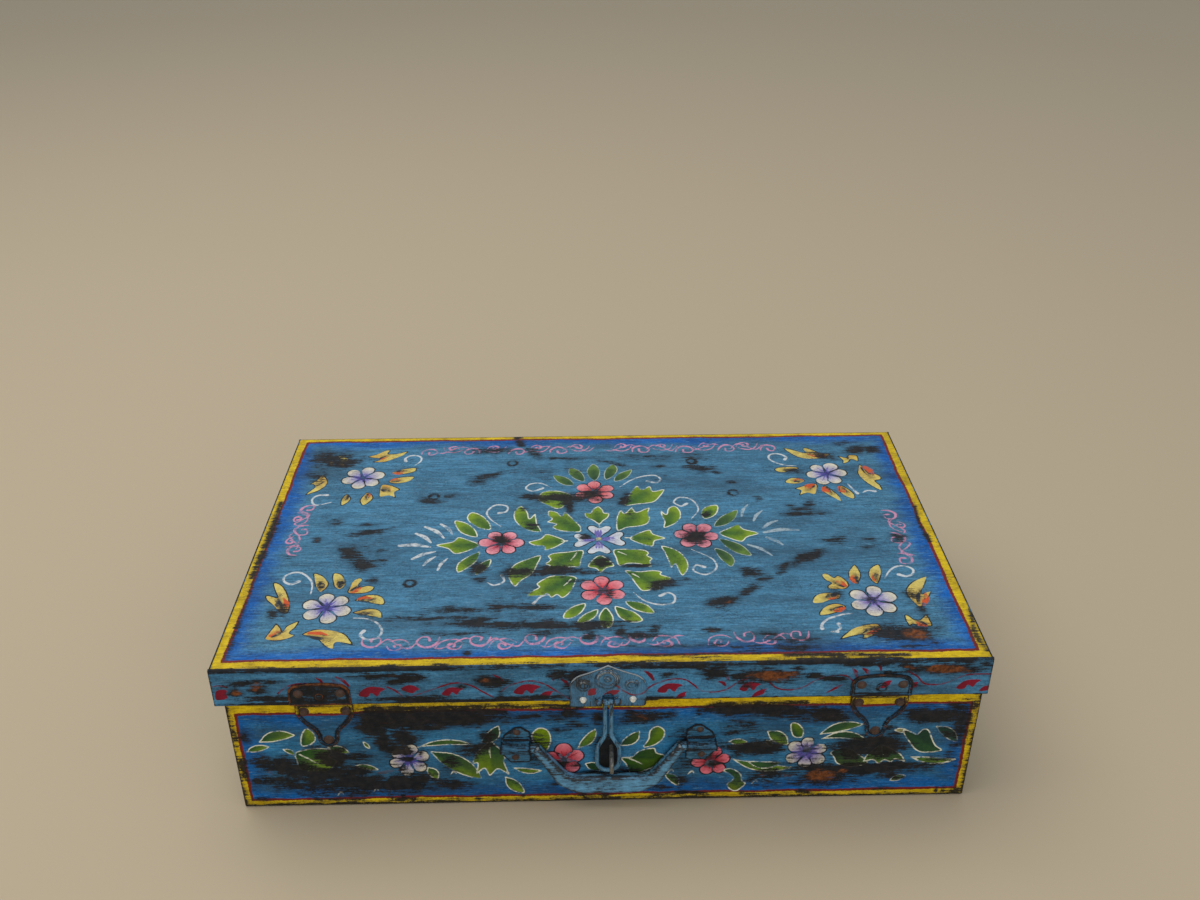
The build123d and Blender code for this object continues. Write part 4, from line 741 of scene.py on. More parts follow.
# ------------------------------------------------------------------ body sides
def body_ground(cv, x0, x1, seed, top=103.6, low=7.2):
    """Border and blue ground of a body side; above the border it is plain paint under the lid."""
    bands(cv, x0, x1, 0, 103.6 + 11, 6.0, 6.0, low, 11, seed, red=2.4, deep=15, field=(38, 108, 150), deep_c=(0, 87, 154), lo=0.8)
    n = cv.X.shape
    hid = step(114.6, 115.4, cv.Y)
    cv.yellow = np.where(cv.Y > 112, np.minimum(114.9 - cv.Y, 3), cv.yellow)
    cv.red = np.where(cv.Y > 112, -4, cv.red)
    var = smooth_noise(n, 30, seed + 8, 4, (0.4, 4))[..., None]
    cv.ground = cv.ground * (1 - hid[..., None]) + paint((40, 84, 108)) * (0.8 + 0.5 * var) * hid[..., None]
    # the lid has rubbed the wall under it
    cv.wear = np.maximum(cv.wear, hid * np.clip(smooth_noise(n, 40, seed + 9, 4, (0.15, 6)) * 1.5 - 0.35, 0, 0.9))


def body_front():
    p = 1.0
    cv = Canvas(np.arange(-BX + 1, BX - 1 + 0.01, p), np.arange(BEND, 143.5, p))
    body_ground(cv, -BX, BX, 31)
    cv.shift = lambda q: q + np.stack([np.interp(q[:, 0], [-310, -200, -110, -50, 0, 50, 80, 310], [0.5, 0, -1, -3, -3, -2, 0, 0]),
                                       np.interp(q[:, 0], [-310, -150, 0, 310], [-2.2, -1.2, -1.2, -1.4])], -1)
    poly = lambda pts, **k: cv.shape(curve(pts, closed=True, n=5), k.get("b", GREEN_DARK), k.get("t", LIME), k["ax"], rim=CREAM, rw=1.1, dark=k.get("d", DEEP_GREEN))
    blade(cv, (-280, 74), (-250, 81), 11, 3)
    poly([(-246, 69), (-246, 77), (-243, 85), (-239, 88), (-234, 82), (-234, 75), (-239, 70)], ax=((-244, 70), (-238, 86)))
    poly([(-252, 62), (-240, 66), (-228, 66), (-222, 62), (-225, 57), (-220, 53), (-221, 48), (-230, 40), (-249, 42), (-252, 52)], ax=((-252, 58), (-222, 50)), d=(16, 70, 26))
    cv.stroke([(-249, 60), (-242, 55), (-235, 49)], [.8, .7, .5], CREAM)
    blade(cv, (-226, 67), (-208, 60), 8, 1)
    blade(cv, (-292, 64), (-272, 69), 7, 1)
    blade(cv, (-262, 66), (-252, 59), 5, 1)
    blade(cv, (-206, 46), (-186, 41), 6, 1)
    blade(cv, (-196, 73), (-191, 64), 4, 0)
    flower(cv, -160, 51, 18, 6, 0.3, (146, 140, 184), (200, 192, 174), seed=41)
    rays(cv, -160, 51, 2, 12, 14, VIOLET, .8, seed=41)
    blade(cv, (-146, 43), (-138, 29), 9, 1)
    blade(cv, (-142, 60), (-101, 29), 17, 2, tip_c=(106, 128, 30))
    blade(cv, (-152, 65), (-106, 67), 6, 4)
    blade(cv, (-100, 69), (-84, 87), 11, -3, base_c=(20, 44, 34), tip_c=(40, 72, 34))
    lobed(cv, (-92, 70), [(-108, 46), (-105, 35), (-94, 32), (-77, 33), (-80, 52)], fat=.16, notch=.34, tip_c=(104, 126, 22))
    blade(cv, (-81, 31), (-65, 12), 11, -1)
    blade(cv, (-74, 41), (-49, 37), 6, -2)
    poly([(-46, 59), (-55, 67), (-57, 77), (-51, 84), (-44, 82), (-41, 74), (-42, 65)], ax=((-46, 60), (-50, 84)), b=(104, 128, 14), t=(112, 136, 10), d=None)
    blade(cv, (-20, 61), (-5, 82), 9, -2)
    flower(cv, -31, 49, 18, 5, 0.35, (170, 30, 44), (222, 122, 134), fat=1.08, seed=42)
    rays(cv, -31, 49, 4, 12, 14, (150, 26, 44), .6, seed=142)
    rays(cv, -31, 49, 1, 7, 10, (120, 110, 122), .7, seed=42)
    cv.dot(-31, 49, 2.6, (60, 60, 72))
    blade(cv, (-14, 44), (-1, 36), 9, 1, base_c=(20, 44, 34), tip_c=(52, 84, 30))
    blade(cv, (14, 63), (30, 79), 10, -2, base_c=(24, 56, 40), tip_c=(70, 100, 34))
    poly([(33, 61), (37, 70), (38, 79), (44, 84), (50, 79), (49, 70), (42, 63)], ax=((35, 62), (47, 84)), b=(60, 96, 20), t=(98, 124, 24))
    poly([(15, 50), (24, 51), (31, 58), (42, 60), (44, 55), (51, 51), (45, 41), (31, 33), (23, 33), (19, 43)], ax=((16, 50), (48, 46)), b=(30, 72, 20), t=(74, 100, 18), d=(20, 60, 30))
    cv.stroke([(20, 50), (27, 46), (33, 42)], [.8, .7, .4], CREAM)
    blade(cv, (50, 32), (62, 17), 8, 2, tip_c=(86, 104, 30))
    flower(cv, 87, 45, 17.2, 6, 0.2, (150, 30, 42), (220, 112, 126), fat=1.06, seed=43)
    rays(cv, 87, 45, 3, 12, 14, (140, 24, 40), .7, seed=143)
    rays(cv, 87, 45, 1, 7, 10, (110, 40, 52), .8, seed=43)
    cv.dot(86, 42, 4, (86, 84, 96))
    poly([(97, 34), (104, 36), (112, 30), (114, 22), (117, 18), (110, 10), (104, 12), (101, 18), (106, 24), (103, 29)], ax=((98, 34), (110, 12)), b=(44, 88, 40), t=(96, 112, 24))
    blade(cv, (100, 66), (116, 65), 7, 0)
    blade(cv, (104, 47), (155, 36), 9, -5)
    blade(cv, (116, 44), (146, 42), 8, -4, base_c=(40, 80, 40), tip_c=(50, 84, 46))
    blade(cv, (131, 77), (149, 61), 12, 1)
    poly([(153, 70), (150, 78), (150, 85), (156, 84), (161, 77), (160, 69)], ax=((158, 70), (152, 84)), b=(56, 92, 26), t=(96, 120, 24))
    blade(cv, (130, 67), (136, 59), 5, 1)
    flower(cv, 165, 52, 18.5, 6, 0.45, (124, 110, 184), (200, 194, 176), seed=44)
    rays(cv, 165, 53, 1, 12, 17, (92, 84, 160), 1.0, seed=44)
    cv.dot(165, 56, 3.5, (84, 84, 100))
    blade(cv, (174, 72), (209, 82), 10, 3, base_c=(34, 84, 64), tip_c=(90, 116, 26))
    blade(cv, (176, 67), (215, 63), 8, 6, base_c=(36, 80, 40), tip_c=(74, 96, 24))
    poly([(185, 53), (198, 57), (208, 50), (217, 40), (204, 35), (192, 39), (188, 46)], ax=((186, 53), (214, 40)), b=(24, 40, 34), t=(78, 104, 40))
    lobed(cv, (226, 60), [(213, 41), (226, 38), (236, 40), (248, 40)], fat=.16, notch=.3, tip_c=(90, 124, 34))
    blade(cv, (234, 76), (247, 74), 5, 0, base_c=(190, 176, 120), tip_c=(120, 120, 50))
    poly([(242, 76), (250, 73), (254, 71), (258, 76), (263, 75), (267, 66), (271, 58), (277, 52), (263, 50), (255, 53), (249, 61), (244, 69)], ax=((244, 75), (270, 54)), b=(30, 60, 40), t=(42, 78, 44), d=(20, 50, 40))
    blade(cv, (268, 79), (288, 61), 10, 2, base_c=(28, 54, 44), tip_c=(50, 84, 60))
    blade(cv, (251, 46), (290, 42), 8, -3, rw=1.5)
    blade(cv, (237, 19), (251, 24), 7, 1, base_c=(96, 116, 60), tip_c=(70, 90, 50))
    for x, z in ((-220, 15), (-190, 18), (-124, 36), (56, 34), (72, 32), (125, 20), (-16, 28), (18, 30)):
        cv.stroke([(x - 3, z - 2), (x, z + 2), (x + 2, z - 1)], [.3, .9, .3], CREAM)
    w = cv.spot
    for x, z, rx, rz, a, m in [(-160, 96, 42, 13, 0, 1.0), (-110, 95, 34, 9, 0, 1.0), (-185, 90, 16, 16, -30, 1.0), (-178, 72, 10, 16, 20, .95), (-163, 74, 16, 10, 0, .9), (-88, 100, 18, 5, -8, .8), (-60, 95, 14, 3, 0, .7),
                               (-278, 50, 10, 12, 20, .8), (-262, 40, 20, 9, -20, .9), (-235, 33, 26, 11, 0, 1.0), (-224, 48, 12, 10, 0, .85), (-206, 55, 14, 8, 0, .8), (-205, 38, 20, 8, 0, .9), (-252, 24, 24, 7, 0, .7), (-196, 29, 24, 8, 0, .9),
                               (-160, 27, 26, 9, 0, .95), (-132, 22, 24, 8, 0, .85), (-215, 14, 40, 5, 0, .55), (-162, 60, 8, 9, 0, .8), (-150, 47, 6, 6, 0, .5), (-172, 62, 8, 7, 0, 1.3), (-160, 51, 5, 4, 0, .9), (-150, 58, 3, 5, -20, .6), (-166, 40, 5, 3, 20, .7), (80, 52, 6, 5, 0, .8), (-24, 41, 5, 4, 0, .6), (172, 44, 5, 3, 0, .5), (-128, 46, 10, 9, -30, .6), (-100, 64, 16, 7, 20, .85), (-96, 74, 8, 7, 0, .8), (-290, 78, 6, 10, 0, .6), (-286, 30, 5, 4, 0, .7),
                               (-38, 92, 16, 4, 0, .7), (-36, 81, 10, 5, 0, .6), (-28, 100, 10, 4, 0, .8), (-6, 92, 6, 8, 0, .8), (-36, 43, 7, 5, 0, .6), (-8, 30, 14, 6, 0, .8), (20, 34, 16, 6, 0, .7), (30, 92, 14, 6, -20, 1.0), (22, 89, 10, 5, 0, .6), (60, 60, 8, 8, 30, .5), (64, 40, 12, 10, 0, .5), (60, 22, 10, 8, 0, .6),
                               (112, 99, 34, 6, 0, 1.0), (148, 95, 30, 7, 0, 1.0), (95, 102, 16, 5, 0, .9), (105, 74, 20, 4, 0, .5), (118, 58, 20, 8, 0, 1.0), (108, 50, 8, 5, 0, .8), (134, 54, 12, 5, -20, .8), (84, 50, 7, 6, 0, .7), (88, 40, 6, 5, 0, .8), (140, 27, 30, 7, 0, .75), (180, 25, 26, 11, 0, 1.0), (200, 34, 30, 6, 0, .9),
                               (176, 92, 20, 8, 0, .95), (160, 88, 14, 5, 0, .7), (228, 60, 18, 11, 0, 1.0), (212, 60, 12, 8, 0, .8), (200, 48, 12, 7, -20, .85), (235, 34, 36, 6, 0, 1.0), (236, 24, 16, 6, 0, .7), (262, 34, 18, 3, 0, .7), (258, 90, 22, 9, 0, .95), (248, 84, 10, 4, 0, .6), (290, 80, 8, 24, 0, .85), (282, 98, 10, 6, 0, .7), (232, 76, 8, 5, 0, .6), (276, 72, 9, 5, -30, .6),
                               (288, 56, 7, 6, 0, .6), (30, 15, 40, 4, 0, .5), (-40, 22, 20, 5, 20, .4), (150, 16, 40, 4, 0, .5), (-296, 44, 4, 14, 0, .9), (-298, 80, 3, 16, 0, .7), (297, 98, 6, 7, 0, .8)]:
        w("wear", x, z, rx, rz, a, m * 1.2)
    for x, z, rx, rz, a, m in [(-165, 95, 32, 11, 0, 1.9), (-122, 96, 34, 10, 0, 1.9), (-186, 88, 12, 15, 0, 1.5), (-180, 68, 8, 14, 20, 1.3), (-165, 77, 15, 7, 0, 1.3), (-94, 100, 14, 4.5, -8, 1.5), (-150, 85, 30, 5, 0, 1.2),
                               (-255, 42, 28, 12, -15, 1.3), (-205, 25, 56, 12, 0, 1.3), (-168, 25, 24, 9, 0, 1.6), (-222, 55, 18, 9, 0, 1.35), (-264, 30, 22, 8, 0, 1.0), (-230, 35, 36, 10, 0, 1.4), (-245, 65, 20, 4, 0, .6),
                               # the patch at (2, 53), amount 2.6, is painted shade: the dark hollow seen through the
                               # hasp loop's eye
                               (122, 99, 42, 6.5, 0, 1.8), (180, 88, 17, 5, 0, 1.4), (264, 89, 26, 8, 0, 1.6), (122, 57, 24, 7.5, 0, 1.7), (215, 56, 32, 11, 0, 1.7), (205, 32, 56, 7, 0, 1.6), (112, 84, 14, 6, 0, .7), (40, 94, 20, 6, 0, 1.1), (2, 53, 8.5, 17, 0, 2.6), (-24, 86, 12, 5, 0, .8),
                               (-30, 96, 22, 5, 0, .9), (0, 26, 40, 7, 0, .8), (-60, 60, 14, 20, 0, .8), (66, 66, 12, 16, 0, .8), (235, 70, 10, 7, 0, 1.0), (150, 20, 60, 6, 0, .6), (280, 40, 16, 14, 0, .5), (-110, 60, 22, 10, 0, .8), (-200, 50, 60, 30, 0, .35), (180, 50, 70, 30, 0, .35)]:
        w("wear", x, z, rx, rz, a, m)
    for x, z, rx, rz, a, m in [(-174, 92, 8, 14, -25, .35), (-176, 38, 20, 3, 10, .7), (-275, 38, 6, 4, -40, .7), (-184, 36, 12, 3, 10, .6), (30, 92, 13, 5, -20, .6), (180, 25, 18, 9, 0, .95), (197, 30, 6, 4, 0, .8), (150, 25, 16, 5, 0, .6), (132, 26, 14, 3, 0, .5), (140, 22, 40, 3, 0, .35), (27, 103, 10, 3, 0, .7), (-28, 106, 12, 2, 0, .5)]:
        w("rust", x, z, rx, rz, a, m)
    r = rng(45)
    for _ in range(46):      # chips along the lower border
        cv.spot("wear", r.uniform(-295, 295), r.uniform(1, 9), r.uniform(2, 12), r.uniform(1.2, 3), 0, r.uniform(.5, 1))
    for x in (278, 284):
        cv.spot("wear", x, 6, 2.2, 6, 0, 1.0)
    for a, b, m in (((-190, 106), (-112, 106), .9), ((-112, 106.5), (-20, 105), .75), ((84, 104), (160, 105), .9), ((-40, 112.5), (40, 112), .8)):
        cv.streak("wear", [a, b], 3.2, m)
    edge_wear(cv, 33, 0, 1.1, .9, 2.2)
    cv.haze = np.clip(smooth_noise(cv.X.shape, 28, 34, 4, (0.5, 2.4)) - 0.38, 0, 1) * 2.5
    return cv


def body_side(x0, x1, seed, flowers):
    """The body sides that aren't seen: border, a flower or more and leaves."""
    p = 1.3
    cv = Canvas(np.append(np.arange(x0 + 1, x1 - 1 - p / 2, p), x1 - 1), np.append(np.arange(BEND, 143.0 - p / 2, p), 143.0))
    body_ground(cv, x0, x1, seed)
    r = rng(seed + 1)
    for i, (fx, fz, c0, c1) in enumerate(flowers):
        for s in (-1, 1):
            for k in range(3):
                a = (0.75 - 0.7 * k) + r.uniform(-.15, .15)
                q = r.uniform(40, 58)
                bx, bz = fx + s * 18 * math.cos(a), fz + 16 * math.sin(a)
                tx, tz = fx + s * q * math.cos(a * .7), np.clip(fz + q * 0.75 * math.sin(a * .7), 16, 96)
                if k == 1:
                    lobed(cv, (bx, bz), [(tx - s * 12, tz + 12), (tx, tz), (tx - s * 12, tz - 12)], fat=.2)
                else:
                    blade(cv, (bx, bz), (tx, tz), r.uniform(9, 13), s * r.uniform(-3, 3))
            cv.stroke([(fx + s * 44, fz + 14), (fx + s * 56, fz + 24), (fx + s * 66, fz + 18), (fx + s * 63, fz + 8), (fx + s * 56, fz + 12)], [.7, 1.2, 1.2, 1.2, 1.8], WHITE)
        flower(cv, fx, fz, r.uniform(17.5, 20), 6, r.uniform(0, 1), c0, c1, seed=seed + i)
        rays(cv, fx, fz, 3, 13, 16, VIOLET if c1[2] > 170 else (150, 30, 50), .7, seed=seed + i)
        rays(cv, fx, fz, 0.5, 7, 10, (62, 54, 130) if c1[2] > 170 else (60, 40, 50), .8, seed=seed + i + 9)
        cv.dot(fx, fz, 2.0, (54, 44, 60))
    for _ in range(int((x1 - x0) / 14)):
        cv.spot("wear", r.uniform(x0, x1), r.uniform(8, 104), r.uniform(8, 34), r.uniform(3, 10), r.uniform(-8, 8), r.uniform(.5, 1.0))
    for _ in range(int((x1 - x0) / 60)):
        x, z, a, b = r.uniform(x0, x1), r.uniform(12, 100), r.uniform(8, 22), r.uniform(3, 8)
        cv.spot("rust", x, z, a, b, 0, r.uniform(.6, 1))
        cv.spot("wear", x, z, a * 1.2, b * 1.2, 0, .95)
    for _ in range(int((x1 - x0) / 12)):
        cv.spot("wear", r.uniform(x0, x1), r.uniform(1, 9), r.uniform(2, 12), r.uniform(1.2, 3), 0, r.uniform(.5, 1))
    edge_wear(cv, seed + 3, 0, 1.1, .9, 2.2)
    cv.haze = np.clip(smooth_noise(cv.X.shape, 26, seed + 4, 4, (0.5, 2.4)) - 0.43, 0, 1) * 2.4
    return cv
# ------------------------------------------------------------------ meshes
def mesh_object(name, verts, faces, mats, index=None, smooth=True, sharp=None):
    me = bpy.data.meshes.new(name)
    verts = np.asarray(verts, np.float32)
    quads = isinstance(faces, np.ndarray)
    if quads:
        me.vertices.add(len(verts))
        me.vertices.foreach_set("co", verts.ravel())
        me.loops.add(faces.size)
        me.loops.foreach_set("vertex_index", faces.astype(np.int32).ravel())
        me.polygons.add(len(faces))
        me.polygons.foreach_set("loop_start", np.arange(0, faces.size, 4, dtype=np.int32))
        me.polygons.foreach_set("loop_total", np.full(len(faces), 4, np.int32))
        me.update(calc_edges=True)
    else:
        me.from_pydata(verts.tolist(), [], faces)
    if index is not None:
        me.polygons.foreach_set("material_index", np.asarray(index, np.int32))
    me.validate()
    me.polygons.foreach_set("use_smooth", np.full(len(me.polygons), smooth))
    for m in mats:
        me.materials.append(m)
    if sharp:
        me.set_sharp_from_angle(angle=math.radians(sharp))
    o = bpy.data.objects.new(name, me)
    scene.collection.objects.link(o)
    return o


def set_layers(me, cv, rows, cols, wear_extra, n_extra=0):
    """Writes the canvas's layers as colour attributes, one value per vertex."""
    J, I = np.meshgrid(rows, cols, indexing="ij")

    def put(name, rgb, a):
        d = np.zeros((J.size + n_extra, 4), np.float32)
        d[: J.size, :3] = rgb[J, I].reshape(-1, 3)
        d[: J.size, 3] = a[J, I].ravel()
        if n_extra:
            d[J.size:] = d[0]
        at = me.attributes.new(name, "FLOAT_COLOR", "POINT")
        at.data.foreach_set("color", d.ravel())
    put("ground", cv.ground, cv.wear)
    put("fill", cv.fill, np.clip(cv.sd, -9, 9))
    put("rim", cv.rim, cv.rw)
    put("top", cv.top, np.clip(cv.td, -9, 9))
    put("bands", np.stack([np.clip(cv.yellow, -9, 9), np.clip(cv.red, -9, 9), cv.haze], -1), cv.rust)
    ex = np.zeros(J.size + n_extra, np.float32)
    ex[: J.size] = np.asarray(wear_extra, np.float32).ravel()
    at = me.attributes.new("edge", "FLOAT", "POINT")
    at.data.foreach_set("value", ex)


def flat_panel(name, cv, place, mats, depth=SHEET, dent=None):
    """A flat sheet: fine painted face, thin edge and one face behind."""
    ny, nx = cv.X.shape
    d = np.zeros((ny, nx)) if dent is None else dent
    V = place(cv.X.ravel(), cv.Y.ravel(), d.ravel())
    k = np.arange(ny * nx).reshape(ny, nx)
    loop = np.concatenate([k[0, :-1], k[:-1, -1], k[-1, :0:-1], k[:0:-1, 0]])
    B = place(cv.X.ravel()[loop], cv.Y.ravel()[loop], np.full(len(loop), depth))
    V = np.vstack([V, B]) / 1000
    q = np.stack([k[:-1, :-1], k[:-1, 1:], k[1:, 1:], k[1:, :-1]], -1).reshape(-1, 4)
    m = len(loop)
    b = np.arange(m) + ny * nx
    nx_ = np.roll(np.arange(m), -1)
    side = np.stack([loop, b, b[nx_], loop[nx_]], -1)
    faces = [tuple(f) for f in np.vstack([q, side]).tolist()] + [tuple(b[::-1].tolist())]
    me = bpy.data.meshes.new(name)
    me.from_pydata(V.tolist(), [], faces)
    idx = np.zeros(len(faces), np.int32)
    idx[-1] = 1
    me.polygons.foreach_set("material_index", idx)
    sm = np.ones(len(faces), bool)
    sm[len(q):] = False
    me.polygons.foreach_set("use_smooth", sm)
    for mt in mats:
        me.materials.append(mt)
    n = ny * nx
    wx = np.zeros((ny, nx))
    set_layers(me, cv, np.arange(ny), np.arange(nx), wx, m)
    for name_ in ("ground", "fill", "rim", "top", "bands"):
        a = me.attributes[name_]
        buf = np.zeros(len(a.data) * 4, np.float32)
        a.data.foreach_get("color", buf)
        buf = buf.reshape(-1, 4)
        buf[n:] = buf[loop]
        a.data.foreach_set("color", buf.ravel())
    o = bpy.data.objects.new(name, me)
    scene.collection.objects.link(o)
    return o


def profile_panel(name, cv, profile, place, mats, side_r=(0, 0), dent=None, edge_lift=None):
    """A sheet with rolled or folded edges: a closed profile of (height, depth, canvas row,
    extra wear, material), run along the panel's columns; side_r rounds its two ends."""
    prof = profile
    ny, nx = cv.X.shape
    cols = list(range(nx))
    cs = cv.xs.copy()
    cd = np.zeros(nx)
    cw = np.zeros(nx)
    for end, R in ((0, side_r[0]), (1, side_r[1])):
        if R <= 0:
            continue
        ang = np.radians([22, 45, 68, 90])
        ex = R * np.sin(ang)
        dd = R * (1 - np.cos(ang))
        if end == 0:
            cs = np.concatenate([(cv.xs[0] - ex)[::-1], cs])
            cd = np.concatenate([dd[::-1], cd])
            cw = np.concatenate([[1.0] * 4, cw])
            cols = [0] * 4 + cols
        else:
            cs = np.concatenate([cs, cv.xs[-1] + ex])
            cd = np.concatenate([cd, dd])
            cw = np.concatenate([cw, [1.0] * 4])
            cols = cols + [nx - 1] * 4
    m, n = len(prof), len(cols)
    H = np.array([p[0] for p in prof], float)[:, None] + np.zeros((1, n))
    D = np.array([p[1] for p in prof], float)[:, None] + cd[None, :]
    rows = np.array([p[2] for p in prof])
    E = np.array([p[3] for p in prof], float)[:, None] + cw[None, :] * 0.55
    M = np.array([p[4] for p in prof])
    if dent is not None:
        D = D + dent[np.ix_(rows, cols)]
    if edge_lift is not None:
        H = H + edge_lift[cols][None, :] * np.array([p[5] if len(p) > 5 else 0 for p in prof])[:, None]
    S = np.tile(cs, (m, 1))
    V = place(S.ravel(), H.ravel(), D.ravel()) / 1000
    k = np.arange(m * n).reshape(m, n)
    kk = np.vstack([k, k[:1]])
    q = np.stack([kk[:-1, :-1], kk[:-1, 1:], kk[1:, 1:], kk[1:, :-1]], -1).reshape(-1, 4)
    mi = np.repeat(M, n - 1)
    faces = [tuple(f) for f in q.tolist()] + [tuple(k[:, 0][::1].tolist()), tuple(k[:, -1][::-1].tolist())]
    me = bpy.data.meshes.new(name)
    me.from_pydata(V.tolist(), [], faces)
    me.polygons.foreach_set("material_index", np.append(mi, [0, 0]).astype(np.int32))
    me.polygons.foreach_set("use_smooth", np.append(np.ones(len(q), bool), [False, False]))
    for mt in mats:
        me.materials.append(mt)
    set_layers(me, cv, rows, np.array(cols), E, 0)
    bm = bmesh.new()
    bm.from_mesh(me)
    bmesh.ops.recalc_face_normals(bm, faces=bm.faces)
    bm.to_mesh(me)
    bm.free()
    o = bpy.data.objects.new(name, me)
    scene.collection.objects.link(o)
    return o


def dents(cv, seed, depth=0.35, cell=70, edge=14):
    """Slow waviness of the sheet, from nothing at its edges."""
    p = cv.xs[1] - cv.xs[0]
    n = smooth_noise(cv.X.shape, cell / p, seed, 3)
    d = np.minimum(np.minimum(cv.X - cv.xs[0], cv.xs[-1] - cv.X), np.minimum(cv.Y - cv.ys[0], cv.ys[-1] - cv.Y))
    return (n - 0.25) * depth * 2 * step(0, edge, d)


def flange_profile(cv):
    """Lid side: bend at the top, flat side, folded hem at the bottom."""
    ny = len(cv.ys)
    p = []
    for a in (90, 68, 45, 22):
        r = math.radians(a)
        p.append((LZ - BEND + BEND * math.sin(r), BEND * (1 - math.cos(r)), ny - 1, 0.10, 0))
    start = 0
    while cv.ys[start] < FZ + 0.75:
        start += 1
    for j in range(ny - 1, start - 1, -1):
        near = math.exp(-(cv.ys[j] - FZ) / 2.5)
        p.append((cv.ys[j], 0.0, j, 0.0, 0, near))
    for a in (0, 30, 60, 90, 120, 150, 180):
        r = math.radians(a)
        p.append((FZ + 0.7 - 0.7 * math.sin(r), 0.7 - 0.7 * math.cos(r), start, 0.42, 0, 1.0))
    for h, d, lift in ((FZ + 3, 1.4, 1), (FZ + 5.8, 1.4, 0.6), (FZ + 6.1, 1.2, 0.6), (FZ + 6.2, 0.75, 0.4)):
        p.append((h, d, start, 0.2, 1, lift))
    for h in np.arange(FZ + 8, LZ - 2.4, 4.0):
        p.append((h, 0.7, int(np.argmin(abs(cv.ys - h))), 0.0, 1))
    for a in (0, 45, 90):
        r = math.radians(a)
        p.append((LZ - BEND + 1.3 * math.sin(r), BEND - 1.3 * math.cos(r), ny - 1, 0.0, 1))
    return p


def wall_profile(cv):
    """Body side: bend at the bottom, flat wall and the edge rolled over the rim wire."""
    ny = len(cv.ys)
    cr, cz = 2.15, BZ - 2.15
    p = []
    for a in (90, 68, 45, 22):
        r = math.radians(a)
        p.append((BEND - BEND * math.sin(r), BEND * (1 - math.cos(r)), 0, 0.5, 0))
    for j in range(ny):
        p.append((cv.ys[j], 0.0, j, 0.0, 0))
    p.append((cz - 1.6, 0.0, ny - 1, 0.1, 0))
    for a in range(0, 241, 24):
        r = math.radians(a)
        p.append((cz + cr * math.sin(r), cr - cr * math.cos(r), ny - 1, 0.35, 0))
    p.append((cz - 2.4, 0.75, ny - 1, 0.2, 1))
    for h in np.arange(142, 3, -6.0):
        p.append((h, 0.7, int(np.argmin(abs(cv.ys - h))), 0.0, 1))
    for a in (0, 45, 90):
        r = math.radians(a)
        p.append((BEND - 1.3 * math.sin(r), BEND - 1.3 * math.cos(r), 0, 0.0, 1))
    return p
